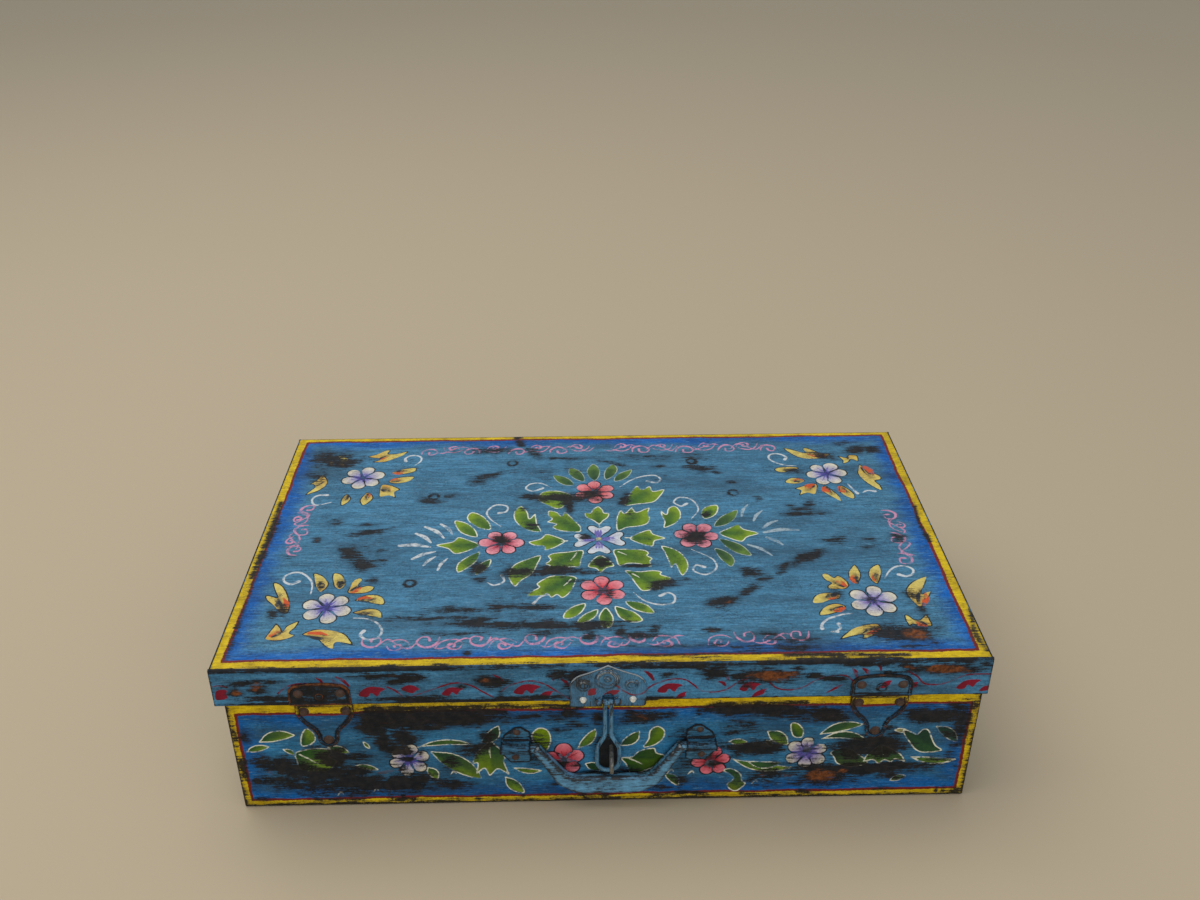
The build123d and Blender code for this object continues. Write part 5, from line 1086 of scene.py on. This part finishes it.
# ------------------------------------------------------------------ materials
class N:
    """Short node building: N(material) then n.math('ADD', a, b) and so on."""

    def __init__(self, name):
        self.m = bpy.data.materials.new(name)
        self.m.use_nodes = True
        self.t = self.m.node_tree
        self.bsdf = self.t.nodes["Principled BSDF"]
        self.coord = self.t.nodes.new("ShaderNodeTexCoord").outputs["Object"]

    def link(self, a, b):
        if isinstance(a, (int, float)):
            b.default_value = a
        elif isinstance(a, (tuple, list, np.ndarray)):
            b.default_value = tuple(a) + ((1,) if len(a) == 3 and len(b.default_value) == 4 else ())
        else:
            self.t.links.new(a, b)

    def math(self, op, a, b=0.0, c=0.0, clamp=False):
        n = self.t.nodes.new("ShaderNodeMath")
        n.operation = op
        n.use_clamp = clamp
        for i, v in enumerate((a, b, c)[: len(n.inputs)]):
            self.link(v, n.inputs[i])
        return n.outputs[0]

    def ramp(self, v, lo, hi, a=0.0, b=1.0):
        n = self.t.nodes.new("ShaderNodeMapRange")
        n.interpolation_type = "SMOOTHSTEP"
        self.link(v, n.inputs["Value"])
        self.link(lo, n.inputs["From Min"])
        self.link(hi, n.inputs["From Max"])
        self.link(a, n.inputs["To Min"])
        self.link(b, n.inputs["To Max"])
        return n.outputs["Result"]

    def mix(self, f, a, b, kind="MIX"):
        n = self.t.nodes.new("ShaderNodeMix")
        n.data_type = "RGBA"
        n.blend_type = kind
        n.clamp_factor = True
        self.link(f, n.inputs["Factor"])
        self.link(a, n.inputs["A"] if False else n.inputs[6])
        self.link(b, n.inputs[7])
        return n.outputs[2]

    def scaled(self, s, shift=(0, 0, 0)):
        n = self.t.nodes.new("ShaderNodeMapping")
        self.link(self.coord, n.inputs["Vector"])
        n.inputs["Scale"].default_value = s
        n.inputs["Location"].default_value = shift
        return n.outputs[0]

    def noise(self, s, detail=4, rough=0.55, shift=(0, 0, 0), distortion=0.0):
        n = self.t.nodes.new("ShaderNodeTexNoise")
        n.inputs["Scale"].default_value = 1.0
        n.inputs["Detail"].default_value = detail
        n.inputs["Roughness"].default_value = rough
        n.inputs["Distortion"].default_value = distortion
        s = (s, s, s) if isinstance(s, (int, float)) else s
        self.link(self.scaled(s, shift), n.inputs["Vector"])
        return n.outputs["Fac"]

    def attr(self, name):
        n = self.t.nodes.new("ShaderNodeAttribute")
        n.attribute_name = name
        return n.outputs["Color"], n.outputs["Alpha"], n.outputs["Fac"]

    def split(self, c):
        n = self.t.nodes.new("ShaderNodeSeparateColor")
        self.link(c, n.inputs[0])
        return n.outputs[0], n.outputs[1], n.outputs[2]

    def times(self, c, v):
        """colour times a number"""
        n = self.t.nodes.new("ShaderNodeVectorMath")
        n.operation = "SCALE"
        self.link(c, n.inputs[0])
        self.link(v, n.inputs["Scale"])
        return n.outputs[0]

    def bump(self, height, strength=1.0, distance=0.001, normal=None):
        n = self.t.nodes.new("ShaderNodeBump")
        n.inputs["Strength"].default_value = strength
        n.inputs["Distance"].default_value = distance
        self.link(height, n.inputs["Height"])
        if normal is not None:
            self.link(normal, n.inputs["Normal"])
        return n.outputs[0]

    def done(self, colour, rough, bump=None, metal=0.0, spec=0.4):
        self.link(colour, self.bsdf.inputs["Base Color"])
        self.link(rough, self.bsdf.inputs["Roughness"])
        self.link(metal, self.bsdf.inputs["Metallic"])
        self.bsdf.inputs["Specular IOR Level"].default_value = spec
        if bump is not None:
            self.link(bump, self.bsdf.inputs["Normal"])
        return self.m


def along(axis, fine, run):
    """Noise scale of streaks that run along an axis."""
    return tuple(run if i == axis else fine for i in range(3))


def painted_sheet(name, axis=0, glaze=1.0, seed=0.0, wear_shift=0.0, spec=0.15, bright=0.0, yellow=1.0):
    """Hand-painted sheet steel: layers of brushed paint, rubbed through to dark steel and rust. On fittings the edge
    value also darkens creases as painted shade, and bright lightens raised edges as worn steel with a painted
    highlight.
    """
    n = N(name)
    sh = (seed, seed * 1.7, seed * 0.6)
    streak = n.noise(along(axis, 520, 46), 6, 0.62, sh)
    fine = n.noise(along(axis, 640, 100), 6, 0.72, (seed + 4, 2, 6))
    broad = n.noise(along(axis, 130, 22), 5, 0.58, sh)
    patch = n.noise(75, 7, 0.66, sh)
    grit = n.noise(460, 5, 0.75, (seed, 8, 3))
    grain = n.noise(1500, 3, 0.6, sh)
    wob = n.noise(420, 3, 0.55, sh)
    ground, wear, _ = n.attr("ground")
    fill, sd, _ = n.attr("fill")
    rim, rw, _ = n.attr("rim")
    top, td, _ = n.attr("top")
    bands, rust, _ = n.attr("bands")
    _, _, edge = n.attr("edge")
    yel, red, haze = n.split(bands)
    # brushed blue ground
    g = n.math("MULTIPLY_ADD", streak, 2.0, 0.02)
    g = n.math("MULTIPLY", g, n.math("MULTIPLY_ADD", broad, 1.2, 0.40))
    g = n.math("MULTIPLY", g, n.math("MULTIPLY_ADD", grit, 1.8, 0.12))
    g = n.math("MULTIPLY", g, n.math("MULTIPLY_ADD", grain, 0.8, 0.6))
    col = n.times(ground, g)
    pale = n.ramp(n.noise(along(axis, 900, 120), 5, 0.70, (3, 1, 2)), 0.53, 0.68, 0.0, 0.48)
    col = n.mix(pale, col, tuple(paint((122, 166, 190))))
    # glaze of dark dirt rubbed along the brush marks
    gl = n.math("MULTIPLY", n.ramp(n.math("ADD", n.math("MULTIPLY", haze, 0.62), n.math("MULTIPLY", broad, 0.55)), 0.30, 0.78), n.math("MULTIPLY_ADD", fine, 1.1, 0.18))
    col = n.mix(n.math("MULTIPLY", gl, 0.66 * glaze), col, tuple(paint((34, 50, 62))))
    jit = n.math("MULTIPLY_ADD", n.math("SUBTRACT", wob, 0.5), 2.0, 0.0)
    # border
    rmask = n.ramp(n.math("ADD", red, jit), -0.35, 0.35)
    redc = n.mix(patch, tuple(paint((84, 20, 26))), tuple(paint((138, 42, 32))))
    col = n.mix(rmask, col, redc)
    ymask = n.ramp(n.math("ADD", yel, jit), -0.35, 0.35)
    yf = n.math("ADD", n.math("MULTIPLY_ADD", fine, 2.0, -1.2), n.math("MULTIPLY", patch, 1.8))
    # yellow above 1 makes the yellow paint brighter: painted light on the upright faces
    yv = n.mix(yf, tuple(paint((120, 92, 10), 1.06 * yellow)), tuple(paint((226, 195, 16), 1.06 * yellow) * (1.0, 0.97, 1.0)))
    col = n.mix(ymask, col, yv)
    # motifs: outline, filling, then strokes
    sdj = n.math("ADD", sd, n.math("MULTIPLY", jit, 0.45))
    rgap = n.math("ADD", sdj, rw)
    has = n.ramp(rw, 0.15, 0.6)
    rimmask = n.math("MULTIPLY", n.ramp(rgap, -0.2, 0.35), has)
    dry = n.math("ADD", n.noise(62, 4, 0.6, (7, 3, 1)), n.math("MULTIPLY", grit, 0.5))
    rimmask = n.math("MULTIPLY", rimmask, n.ramp(dry, 0.62, 0.78, 0.08, 1.0))
    col = n.mix(rimmask, col, rim)
    fmask = n.ramp(sdj, -0.25, 0.3)
    fc = n.times(fill, n.math("MULTIPLY_ADD", n.noise(260, 5, 0.66, sh), 1.1, 0.46))
    col = n.mix(fmask, col, fc)
    tmask = n.ramp(n.math("ADD", td, n.math("MULTIPLY", jit, 0.4)), -0.3, 0.3)
    tc = n.times(top, n.math("MULTIPLY_ADD", patch, 0.5, 0.75))
    tmask = n.math("MULTIPLY", tmask, n.ramp(n.math("ADD", n.noise(120, 4, 0.62, (2, 9, 4)), n.math("MULTIPLY", grit, 0.4)), 0.56, 0.74, 0.22, 1.0))
    col = n.mix(tmask, col, tc)
    # dark flecks and grime along the brush marks, over everything
    where = n.ramp(n.noise(34, 5, 0.66, (1, 5, 3)), 0.38, 0.66, 0.10, 1.0)
    fl = n.ramp(n.noise(along(axis, 760, 190), 6, 0.75, (5, 2, 8)), 0.53, 0.64)
    fl2 = n.ramp(n.noise(800, 4, 0.7, (6, 8, 3)), 0.54, 0.64)
    dark = n.math("MULTIPLY", n.math("MAXIMUM", fl, n.math("MULTIPLY", fl2, 0.8)), where)
    col = n.mix(n.math("MULTIPLY", dark, 0.78), col, tuple(paint((28, 36, 42))))
    # rubbed through to dark steel; the same masks also lay painted shade into the creases of fittings and into the
    # hollow behind the hasp loop's eye
    w = n.math("ADD", wear, edge)
    live = n.ramp(w, 0.0, 0.3, 0.22, 1.0)
    field = n.math("MULTIPLY_ADD", w, 0.88, wear_shift - 0.02)
    for layer, amount in ((streak, 1.9), (fine, 1.5), (patch, 1.2), (grit, 1.1), (grain, 0.5)):
        field = n.math("ADD", field, n.math("MULTIPLY", n.math("SUBTRACT", layer, 0.5), amount))
    field = n.math("SUBTRACT", field, n.math("MULTIPLY_ADD", where, -0.22, 0.22))
    wm = n.ramp(field, 0.42, 0.60)
    soft = n.math("MULTIPLY", n.ramp(field, 0.02, 0.50), live)
    steel = n.mix(n.ramp(n.noise(160, 5, 0.65, (4, 4, 1)), 0.35, 0.7), tuple(lin((20, 20, 21))), tuple(lin((41, 36, 33))))
    steel = n.mix(n.ramp(fine, 0.52, 0.74, 0.0, 0.26), steel, tuple(lin((78, 80, 84))))
    col = n.mix(n.math("MULTIPLY", soft, 0.62), col, tuple(lin((26, 36, 44))))
    col = n.mix(n.math("MULTIPLY", wm, 0.95), col, steel)
    rf = n.math("ADD", rust, n.math("MULTIPLY", n.math("SUBTRACT", n.noise(along(axis, 240, 110), 6, 0.75, (9, 1, 2)), 0.5), 1.5))
    rm = n.math("MULTIPLY", n.ramp(rf, 0.42, 0.78), n.math("MULTIPLY_ADD", wm, 0.6, 0.4))
    rc = n.mix(n.ramp(n.noise(300, 5, 0.7, (1, 2, 9)), 0.34, 0.70), tuple(lin((74, 44, 28))), tuple(lin((146, 84, 42))))
    col = n.mix(n.math("MULTIPLY", rm, 0.88), col, rc)
    # bright lightens the strongest edge values to pale steel: worn bare metal, and also a painted highlight on raised
    # rims and ridges
    if bright:
        bm = n.math("MULTIPLY", n.ramp(n.math("ADD", edge, n.math("MULTIPLY", n.math("SUBTRACT", fine, 0.5), 2.2)), 0.72, 1.0), bright)
        col = n.mix(bm, col, tuple(lin((158, 166, 170))))
    rough = n.math("MULTIPLY_ADD", wm, 0.10, 0.40)
    rough = n.math("ADD", rough, n.math("MULTIPLY", rm, 0.25))
    rough = n.math("ADD", rough, n.math("MULTIPLY", streak, 0.16))
    h = n.math("MULTIPLY", streak, 0.10)
    h = n.math("ADD", h, n.math("MULTIPLY", n.math("MAXIMUM", fmask, tmask), 0.12))
    h = n.math("ADD", h, n.math("MULTIPLY", ymask, 0.06))
    h = n.math("SUBTRACT", h, n.math("MULTIPLY", wm, 0.18))
    h = n.math("ADD", h, n.math("MULTIPLY", n.math("MULTIPLY", grit, rm), 0.3))
    return n.done(col, rough, n.bump(h, 0.6, 0.001), spec=spec)


def inside_paint(name="inside_paint"):
    """The trunk's inside: thin grey-blue undercoat, stained and rubbed, with rust in loose clusters."""
    n = N(name)
    wide = n.noise(7, 5, 0.6, (1, 2, 3))
    a = n.noise(26, 6, 0.62)
    b = n.noise((300, 60, 300), 5, 0.6)
    c = n.noise(190, 7, 0.74, (3, 3, 3))
    g = n.noise(600, 4, 0.7, (5, 3, 3))
    col = n.mix(n.ramp(a, 0.3, 0.7), tuple(lin((80, 94, 102))), tuple(lin((122, 132, 132))))
    col = n.mix(n.ramp(wide, 0.42, 0.62, 0, 0.45), col, tuple(lin((104, 102, 92))))
    col = n.mix(n.ramp(b, 0.45, 0.7, 0, 0.55), col, tuple(lin((62, 76, 86))))
    col = n.mix(n.ramp(g, 0.5, 0.72, 0, 0.5), col, tuple(lin((48, 56, 62))))
    ring = n.math("ABSOLUTE", n.math("SUBTRACT", n.noise(13, 3, 0.5, (8, 1, 4)), 0.52))
    col = n.mix(n.ramp(ring, 0.0, 0.012, 0.28, 0.0), col, tuple(lin((70, 62, 50))))
    f = n.ramp(n.math("ADD", c, n.math("ADD", n.math("MULTIPLY", a, 0.45), n.math("MULTIPLY", wide, 0.55))), 1.045, 1.15)
    halo = n.ramp(n.math("ADD", c, n.math("ADD", n.math("MULTIPLY", a, 0.45), n.math("MULTIPLY", wide, 0.55))), 0.93, 1.10, 0, 0.35)
    col = n.mix(halo, col, tuple(lin((110, 84, 60))))
    col = n.mix(f, col, n.mix(n.ramp(g, 0.35, 0.65), tuple(lin((58, 36, 28))), tuple(lin((120, 70, 40)))))
    rough = n.math("MULTIPLY_ADD", f, 0.3, 0.5)
    return n.done(col, rough, n.bump(n.math("ADD", n.math("MULTIPLY", b, 0.1), n.math("MULTIPLY", f, 0.2)), 0.4, 0.001), spec=0.3)
# ------------------------------------------------------------------ panels
inside = inside_paint()
# front and sides take their yellow paint 7% brighter than the top: painted light, for the dimmer light on upright faces
front_paint = painted_sheet("paint_front", 0, 1.0, 0.0, wear_shift=0.09, yellow=1.07)
top_paint = painted_sheet("paint_top", 0, 1.0, 2.3, spec=0.2)
side_paint = painted_sheet("paint_sides", 1, 1.0, 5.1, wear_shift=0.06, yellow=1.07)


def lift(cv, seed, amount=0.5):
    n = smooth_noise((1, len(cv.xs) + 8), 45, seed, 3)[0]
    return (n[: len(cv.xs)] - 0.5) * 2 * amount


def at_top(s, t, d):
    return np.stack([s, t, LZ - d], -1)


def to_front(y):
    return lambda s, t, d: np.stack([s, -y + d, t], -1)


def to_back(y):
    return lambda s, t, d: np.stack([-s, y - d, t], -1)


def to_right(x):
    return lambda s, t, d: np.stack([x - d, s, t], -1)


def to_left(x):
    return lambda s, t, d: np.stack([x + d, -s, t], -1)


# lid
cv_top = lid_top()
# nowhere deeper than the lid's clearance over the rolled rim
o = flat_panel("lid_top", cv_top, at_top, [top_paint, inside], SHEET + 0.1, np.clip(dents(cv_top, 3, 0.42, 90, 16), 0, 0.6))
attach(o, "lid"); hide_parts("lid_pan")
cv_lf = lid_front()
o = profile_panel("lid_front", cv_lf, flange_profile(cv_lf), to_front(LY), [front_paint, inside], (0.0, 0.0), dents(cv_lf, 5, 0.12, 50, 8), lift(cv_lf, 6))
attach(o, "lid"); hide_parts("lid_pan")
cv_lb = lid_side(-LX1, -LX0, 120)
o = profile_panel("lid_back", cv_lb, flange_profile(cv_lb), to_back(LY), [front_paint, inside], (0.0, 0.0), dents(cv_lb, 7, 0.12, 50, 8), lift(cv_lb, 8))
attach(o, "lid"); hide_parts("lid_pan")
for nm, place, seed, node in (("lid_side_right", to_right(LX1), 130, "lid_end_right"), ("lid_side_left", to_left(LX0), 140, "lid_end_left")):
    cv_e = lid_side(-LY + 0.75, LY - 0.75, seed)
    o = profile_panel(nm, cv_e, flange_profile(cv_e), place, [side_paint, inside], (0.0, 0.0), dents(cv_e, seed, 0.12, 50, 8), lift(cv_e, seed + 1))
    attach(o, "lid"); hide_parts(node)

# body
cv_bf = body_front()
o = profile_panel("body_front", cv_bf, wall_profile(cv_bf), to_front(BY), [front_paint, inside], (1.0, 1.0), np.clip(dents(cv_bf, 9, 0.35, 70, 20), 0, 0.5))
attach(o, "body"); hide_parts("body_wrap")
cv_bb = body_side(-BX, BX, 150, [(-205, 56, ROSE, PINK), (-68, 54, (150, 140, 180), (206, 200, 188)), (68, 56, (150, 36, 44), (196, 84, 98)), (205, 55, (150, 140, 180), (208, 204, 186))])
o = profile_panel("body_back", cv_bb, wall_profile(cv_bb), to_back(BY), [front_paint, inside], (1.0, 1.0), np.clip(dents(cv_bb, 10, 0.35, 70, 20), 0, 0.5))
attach(o, "body"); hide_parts("body_wrap")
for nm, place, seed, node in (("body_side_right", to_right(BX - 0.05), 160, "body_end_right"), ("body_side_left", to_left(-BX + 0.05), 170, "body_end_left")):
    cv_e = body_side(-BY + 0.2, BY - 0.2, seed, [(-78, 54, ROSE, PINK), (78, 55, (150, 140, 180), (206, 200, 188))] if seed == 160 else [(0, 55, (206, 66, 74), (212, 122, 134)), (-112, 52, (150, 140, 180), (206, 200, 188)), (112, 54, (150, 140, 180), (206, 200, 188))])
    o = profile_panel(nm, cv_e, wall_profile(cv_e), place, [side_paint, inside], (0.0, 0.0), np.clip(dents(cv_e, seed, 0.35, 70, 20), 0, 0.5))
    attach(o, "body"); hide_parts(node)

# floor of the trunk, one closed plate
xs, ys = np.linspace(-BX + 1.9, BX - 1.9, 61), np.linspace(-BY + 1.9, BY - 1.9, 37)
X, Y = np.meshgrid(xs, ys)
k = np.arange(X.size).reshape(X.shape)
loop = np.concatenate([k[0, :-1], k[:-1, -1], k[-1, :0:-1], k[:0:-1, 0]])
V = np.vstack([np.stack([X.ravel(), Y.ravel(), np.full(X.size, SHEET)], -1), np.stack([X.ravel()[loop], Y.ravel()[loop], np.zeros(len(loop))], -1)]) / 1000
b = np.arange(len(loop)) + X.size
F = [tuple(f) for f in np.stack([k[:-1, :-1], k[:-1, 1:], k[1:, 1:], k[1:, :-1]], -1).reshape(-1, 4).tolist()]
F += [tuple(f) for f in np.stack([loop, b, np.roll(b, -1), np.roll(loop, -1)], -1).tolist()] + [tuple(b[::-1].tolist())]
o = mesh_object("body_bottom", V, F, [inside], smooth=False)
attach(o, "body"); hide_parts("body_wrap")


# ------------------------------------------------------------------ fittings
def sample(cv, field, x, y):
    fx = np.clip((x - cv.xs[0]) / (cv.xs[1] - cv.xs[0]), 0, len(cv.xs) - 1.001)
    fy = np.clip((y - cv.ys[0]) / (cv.ys[1] - cv.ys[0]), 0, len(cv.ys) - 1.001)
    i, j = fx.astype(int), fy.astype(int)
    u, v = fx - i, fy - j
    if field.ndim == 3:
        u, v = u[:, None], v[:, None]
    return (field[j, i] * (1 - u) + field[j, i + 1] * u) * (1 - v) + (field[j + 1, i] * (1 - u) + field[j + 1, i + 1] * u) * v


def fitting(node, mat, ground, voxel=0.45, cv=None, back=False, edge=1.0, crease=0.8, rust=0.0, smooth=2, dull=0.0, wear_gain=1.0, fade=None):
    """A hardware piece in hand-forged look: the CAD mesh remeshed, softened by paint, with its edges and creases
    measured: the edges are worn, and the creases darkened as dirt and as painted shade."""
    src = frame["nodes"][node]
    me = src.data.copy()
    o = bpy.data.objects.new("fit_" + node, me)
    scene.collection.objects.link(o)
    r = o.modifiers.new("r", "REMESH")
    r.mode = "VOXEL"
    r.voxel_size = voxel / 1000 * 1.0
    s = o.modifiers.new("s", "SMOOTH")
    s.factor, s.iterations = 0.5, smooth
    dg = bpy.context.evaluated_depsgraph_get()
    new = bpy.data.meshes.new_from_object(o.evaluated_get(dg))
    o.modifiers.clear()
    o.data = new
    new.name = "fit_" + node
    new.materials.clear()
    new.materials.append(mat)
    new.polygons.foreach_set("use_smooth", np.ones(len(new.polygons), bool))
    nv = len(new.vertices)
    co = np.zeros(nv * 3); new.vertices.foreach_get("co", co); co = co.reshape(-1, 3) * 1000
    nr = np.zeros(nv * 3); new.vertices.foreach_get("normal", nr); nr = nr.reshape(-1, 3)
    ed = np.zeros(len(new.edges) * 2, int); new.edges.foreach_get("vertices", ed); ed = ed.reshape(-1, 2)
    deg = np.bincount(ed.ravel(), minlength=nv).astype(float)[:, None]

    def average(a):
        q = np.zeros_like(a)
        for c in range(a.shape[1]):
            q[:, c] = np.bincount(ed[:, 0], a[ed[:, 1], c], nv) + np.bincount(ed[:, 1], a[ed[:, 0], c], nv)
        return q / np.maximum(deg, 1)
    m = co.copy()
    for _ in range(6):
        m = average(m)
    cvx = ((co - m) * nr).sum(1)[:, None]
    for _ in range(2):
        cvx = average(cvx)
    cvx = cvx[:, 0] / (0.16 * voxel / 0.45)
    # e rises on raised edges (edge) and in hollows (crease); creases are darkened partly as dirt, partly as painted
    # shade in the recesses
    e = np.clip(cvx, 0, 1.2) * edge + np.clip(-cvx, 0, 1.2) * crease
    x = -co[:, 0] if back else co[:, 0]
    z = co[:, 2]
    # fade weakens the edge value low on the plate, so the worn, light rim stays strongest along the top: partly worn
    # steel, partly a painted highlight on the upper edge
    if fade:
        e *= np.interp(z, fade, (0.45, 1.0))

    def put(name, rgb, a):
        d = np.zeros((nv, 4), np.float32)
        d[:, :3] = rgb
        d[:, 3] = a
        new.attributes.new(name, "FLOAT_COLOR", "POINT").data.foreach_set("color", d.ravel())
    if cv is None:
        put("ground", paint(ground), np.full(nv, dull))
        put("fill", 0, -9.0)
        put("rim", 0, 0.0)
        put("top", 0, -9.0)
        put("bands", np.array([[-9.0, -9.0, 0.25]]), np.clip(cvx, 0, 1) * rust)
    else:
        gr = sample(cv, cv.ground, x, z) * 0.45 + paint(ground) * 0.55
        put("ground", gr, np.maximum(sample(cv, cv.wear, x, z) * 0.55 * wear_gain, dull))
        put("fill", sample(cv, cv.fill, x, z), sample(cv, np.clip(cv.sd, -9, 9), x, z))
        put("rim", sample(cv, cv.rim, x, z), sample(cv, cv.rw, x, z))
        put("top", sample(cv, cv.top, x, z), sample(cv, np.clip(cv.td, -9, 9), x, z))
        bd = np.stack([sample(cv, np.clip(cv.yellow, -9, 9), x, z), sample(cv, np.clip(cv.red, -9, 9), x, z), sample(cv, cv.haze, x, z)], -1)
        put("bands", bd, np.maximum(np.clip(cvx, 0, 1) * rust, sample(cv, cv.rust, x, z) * 0.3))
    new.attributes.new("edge", "FLOAT", "POINT").data.foreach_set("value", e.astype(np.float32))
    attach(o, src["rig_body"])
    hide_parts(node)
    return o


hw = painted_sheet("paint_fittings", 0, 0.8, 8.0)
# hasp and handle lighten their raised edges to pale steel: worn metal, and also a painted highlight on rims and ridges;
# the hasp plate's fade keeps this strongest along its top
hw_hasp = painted_sheet("paint_hasp", 2, 0.8, 11.0, spec=0.5, bright=0.8)
hw_handle = painted_sheet("paint_handle", 0, 0.9, 14.0, spec=0.5, bright=0.65)
fitting("hasp_plate", hw_hasp, (50, 100, 132), 0.4, cv_lf, edge=1.05, crease=1.6, rust=0.2, wear_gain=0.9, fade=(128, 138))
fitting("hasp_loop", hw_hasp, (84, 142, 176), 0.33, edge=0.35, crease=2.2, rust=0.15, smooth=1, dull=0.25)
fitting("handle", hw_handle, (94, 156, 192), 0.5, edge=0.95, crease=1.9, rust=0.35, dull=0.40)
for s in ("left", "right"):
    fitting("handle_bracket_" + s, hw, (58, 112, 144), 0.42, edge=1.0, crease=1.5, rust=0.35, dull=0.42)
    fitting("catch_upper_" + s, hw, (66, 112, 140), 0.42, cv_lf, edge=1.15, crease=1.2, rust=0.75 if s == "left" else 0.5, wear_gain=1.2, dull=0.95 if s == "left" else 0.15)
    fitting("catch_lower_" + s, hw, (42, 100, 134), 0.42, cv_bf, edge=1.2, crease=1.2, rust=0.6, wear_gain=.6, dull=0.15)
    fitting("hinge_upper_leaf_" + s, hw, (66, 112, 140), 0.5, cv_lb, True, edge=1.2, rust=.6)
    fitting("hinge_lower_leaf_" + s, hw, (46, 98, 130), 0.5, cv_bb, True, edge=1.2, rust=.6)


def metal(name, a, b, rough=0.45, rust=0.3, metallic=0.7, scale=300):
    """Bare or half-painted steel with rust in noise patches."""
    n = N(name)
    u = n.noise(scale, 5, 0.65)
    v = n.noise(scale * 2.7, 5, 0.7, (3, 1, 7))
    col = n.mix(n.ramp(u, 0.3, 0.7), tuple(lin(a)), tuple(lin(b)))
    rm = n.ramp(n.math("ADD", v, rust - 0.3), 0.5, 0.68)
    col = n.mix(n.math("MULTIPLY", rm, 0.85), col, tuple(lin((84, 50, 34))))
    r = n.math("MULTIPLY_ADD", rm, 0.3, rough)
    mt = n.math("MULTIPLY", n.math("SUBTRACT", 1.0, rm), metallic)
    return n.done(col, r, n.bump(n.math("ADD", n.math("MULTIPLY", u, 0.4), n.math("MULTIPLY", v, 0.3)), 0.5, 0.0004), metal=mt)


m_staple = metal("staple_steel", (84, 86, 86), (140, 138, 128), 0.38, 0.25, 0.5)
m_rivet = metal("rivet_rusty", (52, 44, 40), (84, 72, 62), 0.5, 0.38, 0.3)
# hasp plate rivets: bare domed heads whose near-white colour is a painted glint
m_bright = metal("rivet_bare_painted_glint", (206, 204, 190), (236, 234, 222), 0.35, 0.02, 0.1)
m_pin = metal("pin_steel", (86, 88, 92), (132, 132, 132), 0.45, 0.3, 0.6)
m_wire = metal("rim_wire", (70, 70, 72), (120, 116, 108), 0.5, 0.4, 0.5)
# the backing plate's near-black is partly its own dark paint and partly painted shade of the hollow inside the hasp
# loop's eye
m_plate = metal("backing_plate", (18, 26, 34), (34, 50, 62), 0.5, 0.3, 0.1)
for node, mat in (("staple", m_staple), ("staple_backing_plate", m_plate), ("hinge_pin_left", m_pin), ("hinge_pin_right", m_pin), ("hasp_pin", m_rivet),
                  ("hinge_upper_rivets", m_rivet), ("hinge_lower_rivets", m_rivet), ("handle_bracket_rivets", m_rivet), ("catch_upper_rivets", m_rivet),
                  ("catch_lower_rivets", m_rivet), ("hasp_plate_rivets", m_bright), ("body_rim_wire", m_wire)):
    ob = frame["nodes"][node]
    ob.data.materials.clear()
    ob.data.materials.append(mat)
# ------------------------------------------------------------------ camera
def rot(axis, a):
    return np.array(Matrix.Rotation(a, 3, axis))


M = rot("Z", -0.00384) @ rot("X", 0.52514) @ rot("Y", -0.01831) @ np.array([[1, 0, 0], [0, 0, -1], [0, 1, 0]], float)
cam = bpy.data.cameras.new("camera")
cam.sensor_fit, cam.sensor_width = "HORIZONTAL", 36.0
cam.lens = 36.0
cam.clip_start, cam.clip_end = 0.01, 100
co = bpy.data.objects.new("camera", cam)
R = Matrix([list(M[0]), list(-M[1]), list(-M[2])]).transposed()
co.matrix_world = Matrix.Translation((-0.016775, -0.901195, 0.760267)) @ R.to_4x4()
scene.collection.objects.link(co)
scene.camera = co

# ------------------------------------------------------------------ stage
me = bpy.data.meshes.new("floor")
me.from_pydata([(-20, -20, 0), (20, -20, 0), (20, 20, 0), (-20, 20, 0)], [], [(0, 1, 2, 3)])
floor = bpy.data.objects.new("floor", me)
scene.collection.objects.link(floor)
n = N("floor_pale")
n.bsdf.inputs["Base Color"].default_value = (0.53, 0.43, 0.29, 1)
n.bsdf.inputs["Roughness"].default_value = 0.7
n.bsdf.inputs["Specular IOR Level"].default_value = 0.25
me.materials.append(n.m)

world = bpy.data.worlds.new("world")
scene.world = world
world.use_nodes = True
bg = world.node_tree.nodes["Background"]
bg.inputs[0].default_value = (0.86, 0.92, 1.0, 1)
bg.inputs[1].default_value = 0.50


def area(name, loc, target, size, power, colour):
    l = bpy.data.lights.new(name, "AREA")
    l.shape, l.size, l.size_y = "RECTANGLE", size[0], size[1]
    l.energy, l.color = power, colour
    o = bpy.data.objects.new(name, l)
    o.location = loc
    o.rotation_mode = "QUATERNION"
    o.rotation_quaternion = (Vector(target) - Vector(loc)).to_track_quat("-Z", "Y")
    scene.collection.objects.link(o)
    return o


area("soft_top", (-0.9, 0.3, 2.6), (0, 0, 0), (2.6, 2.6), 40, (1.0, 0.98, 0.95))
area("soft_front", (0.6, -2.6, 1.0), (0, 0, 0.1), (2.4, 1.4), 17, (1.0, 0.98, 0.95))
scene.view_settings.view_transform = "Standard"
scene.view_settings.look = "None"
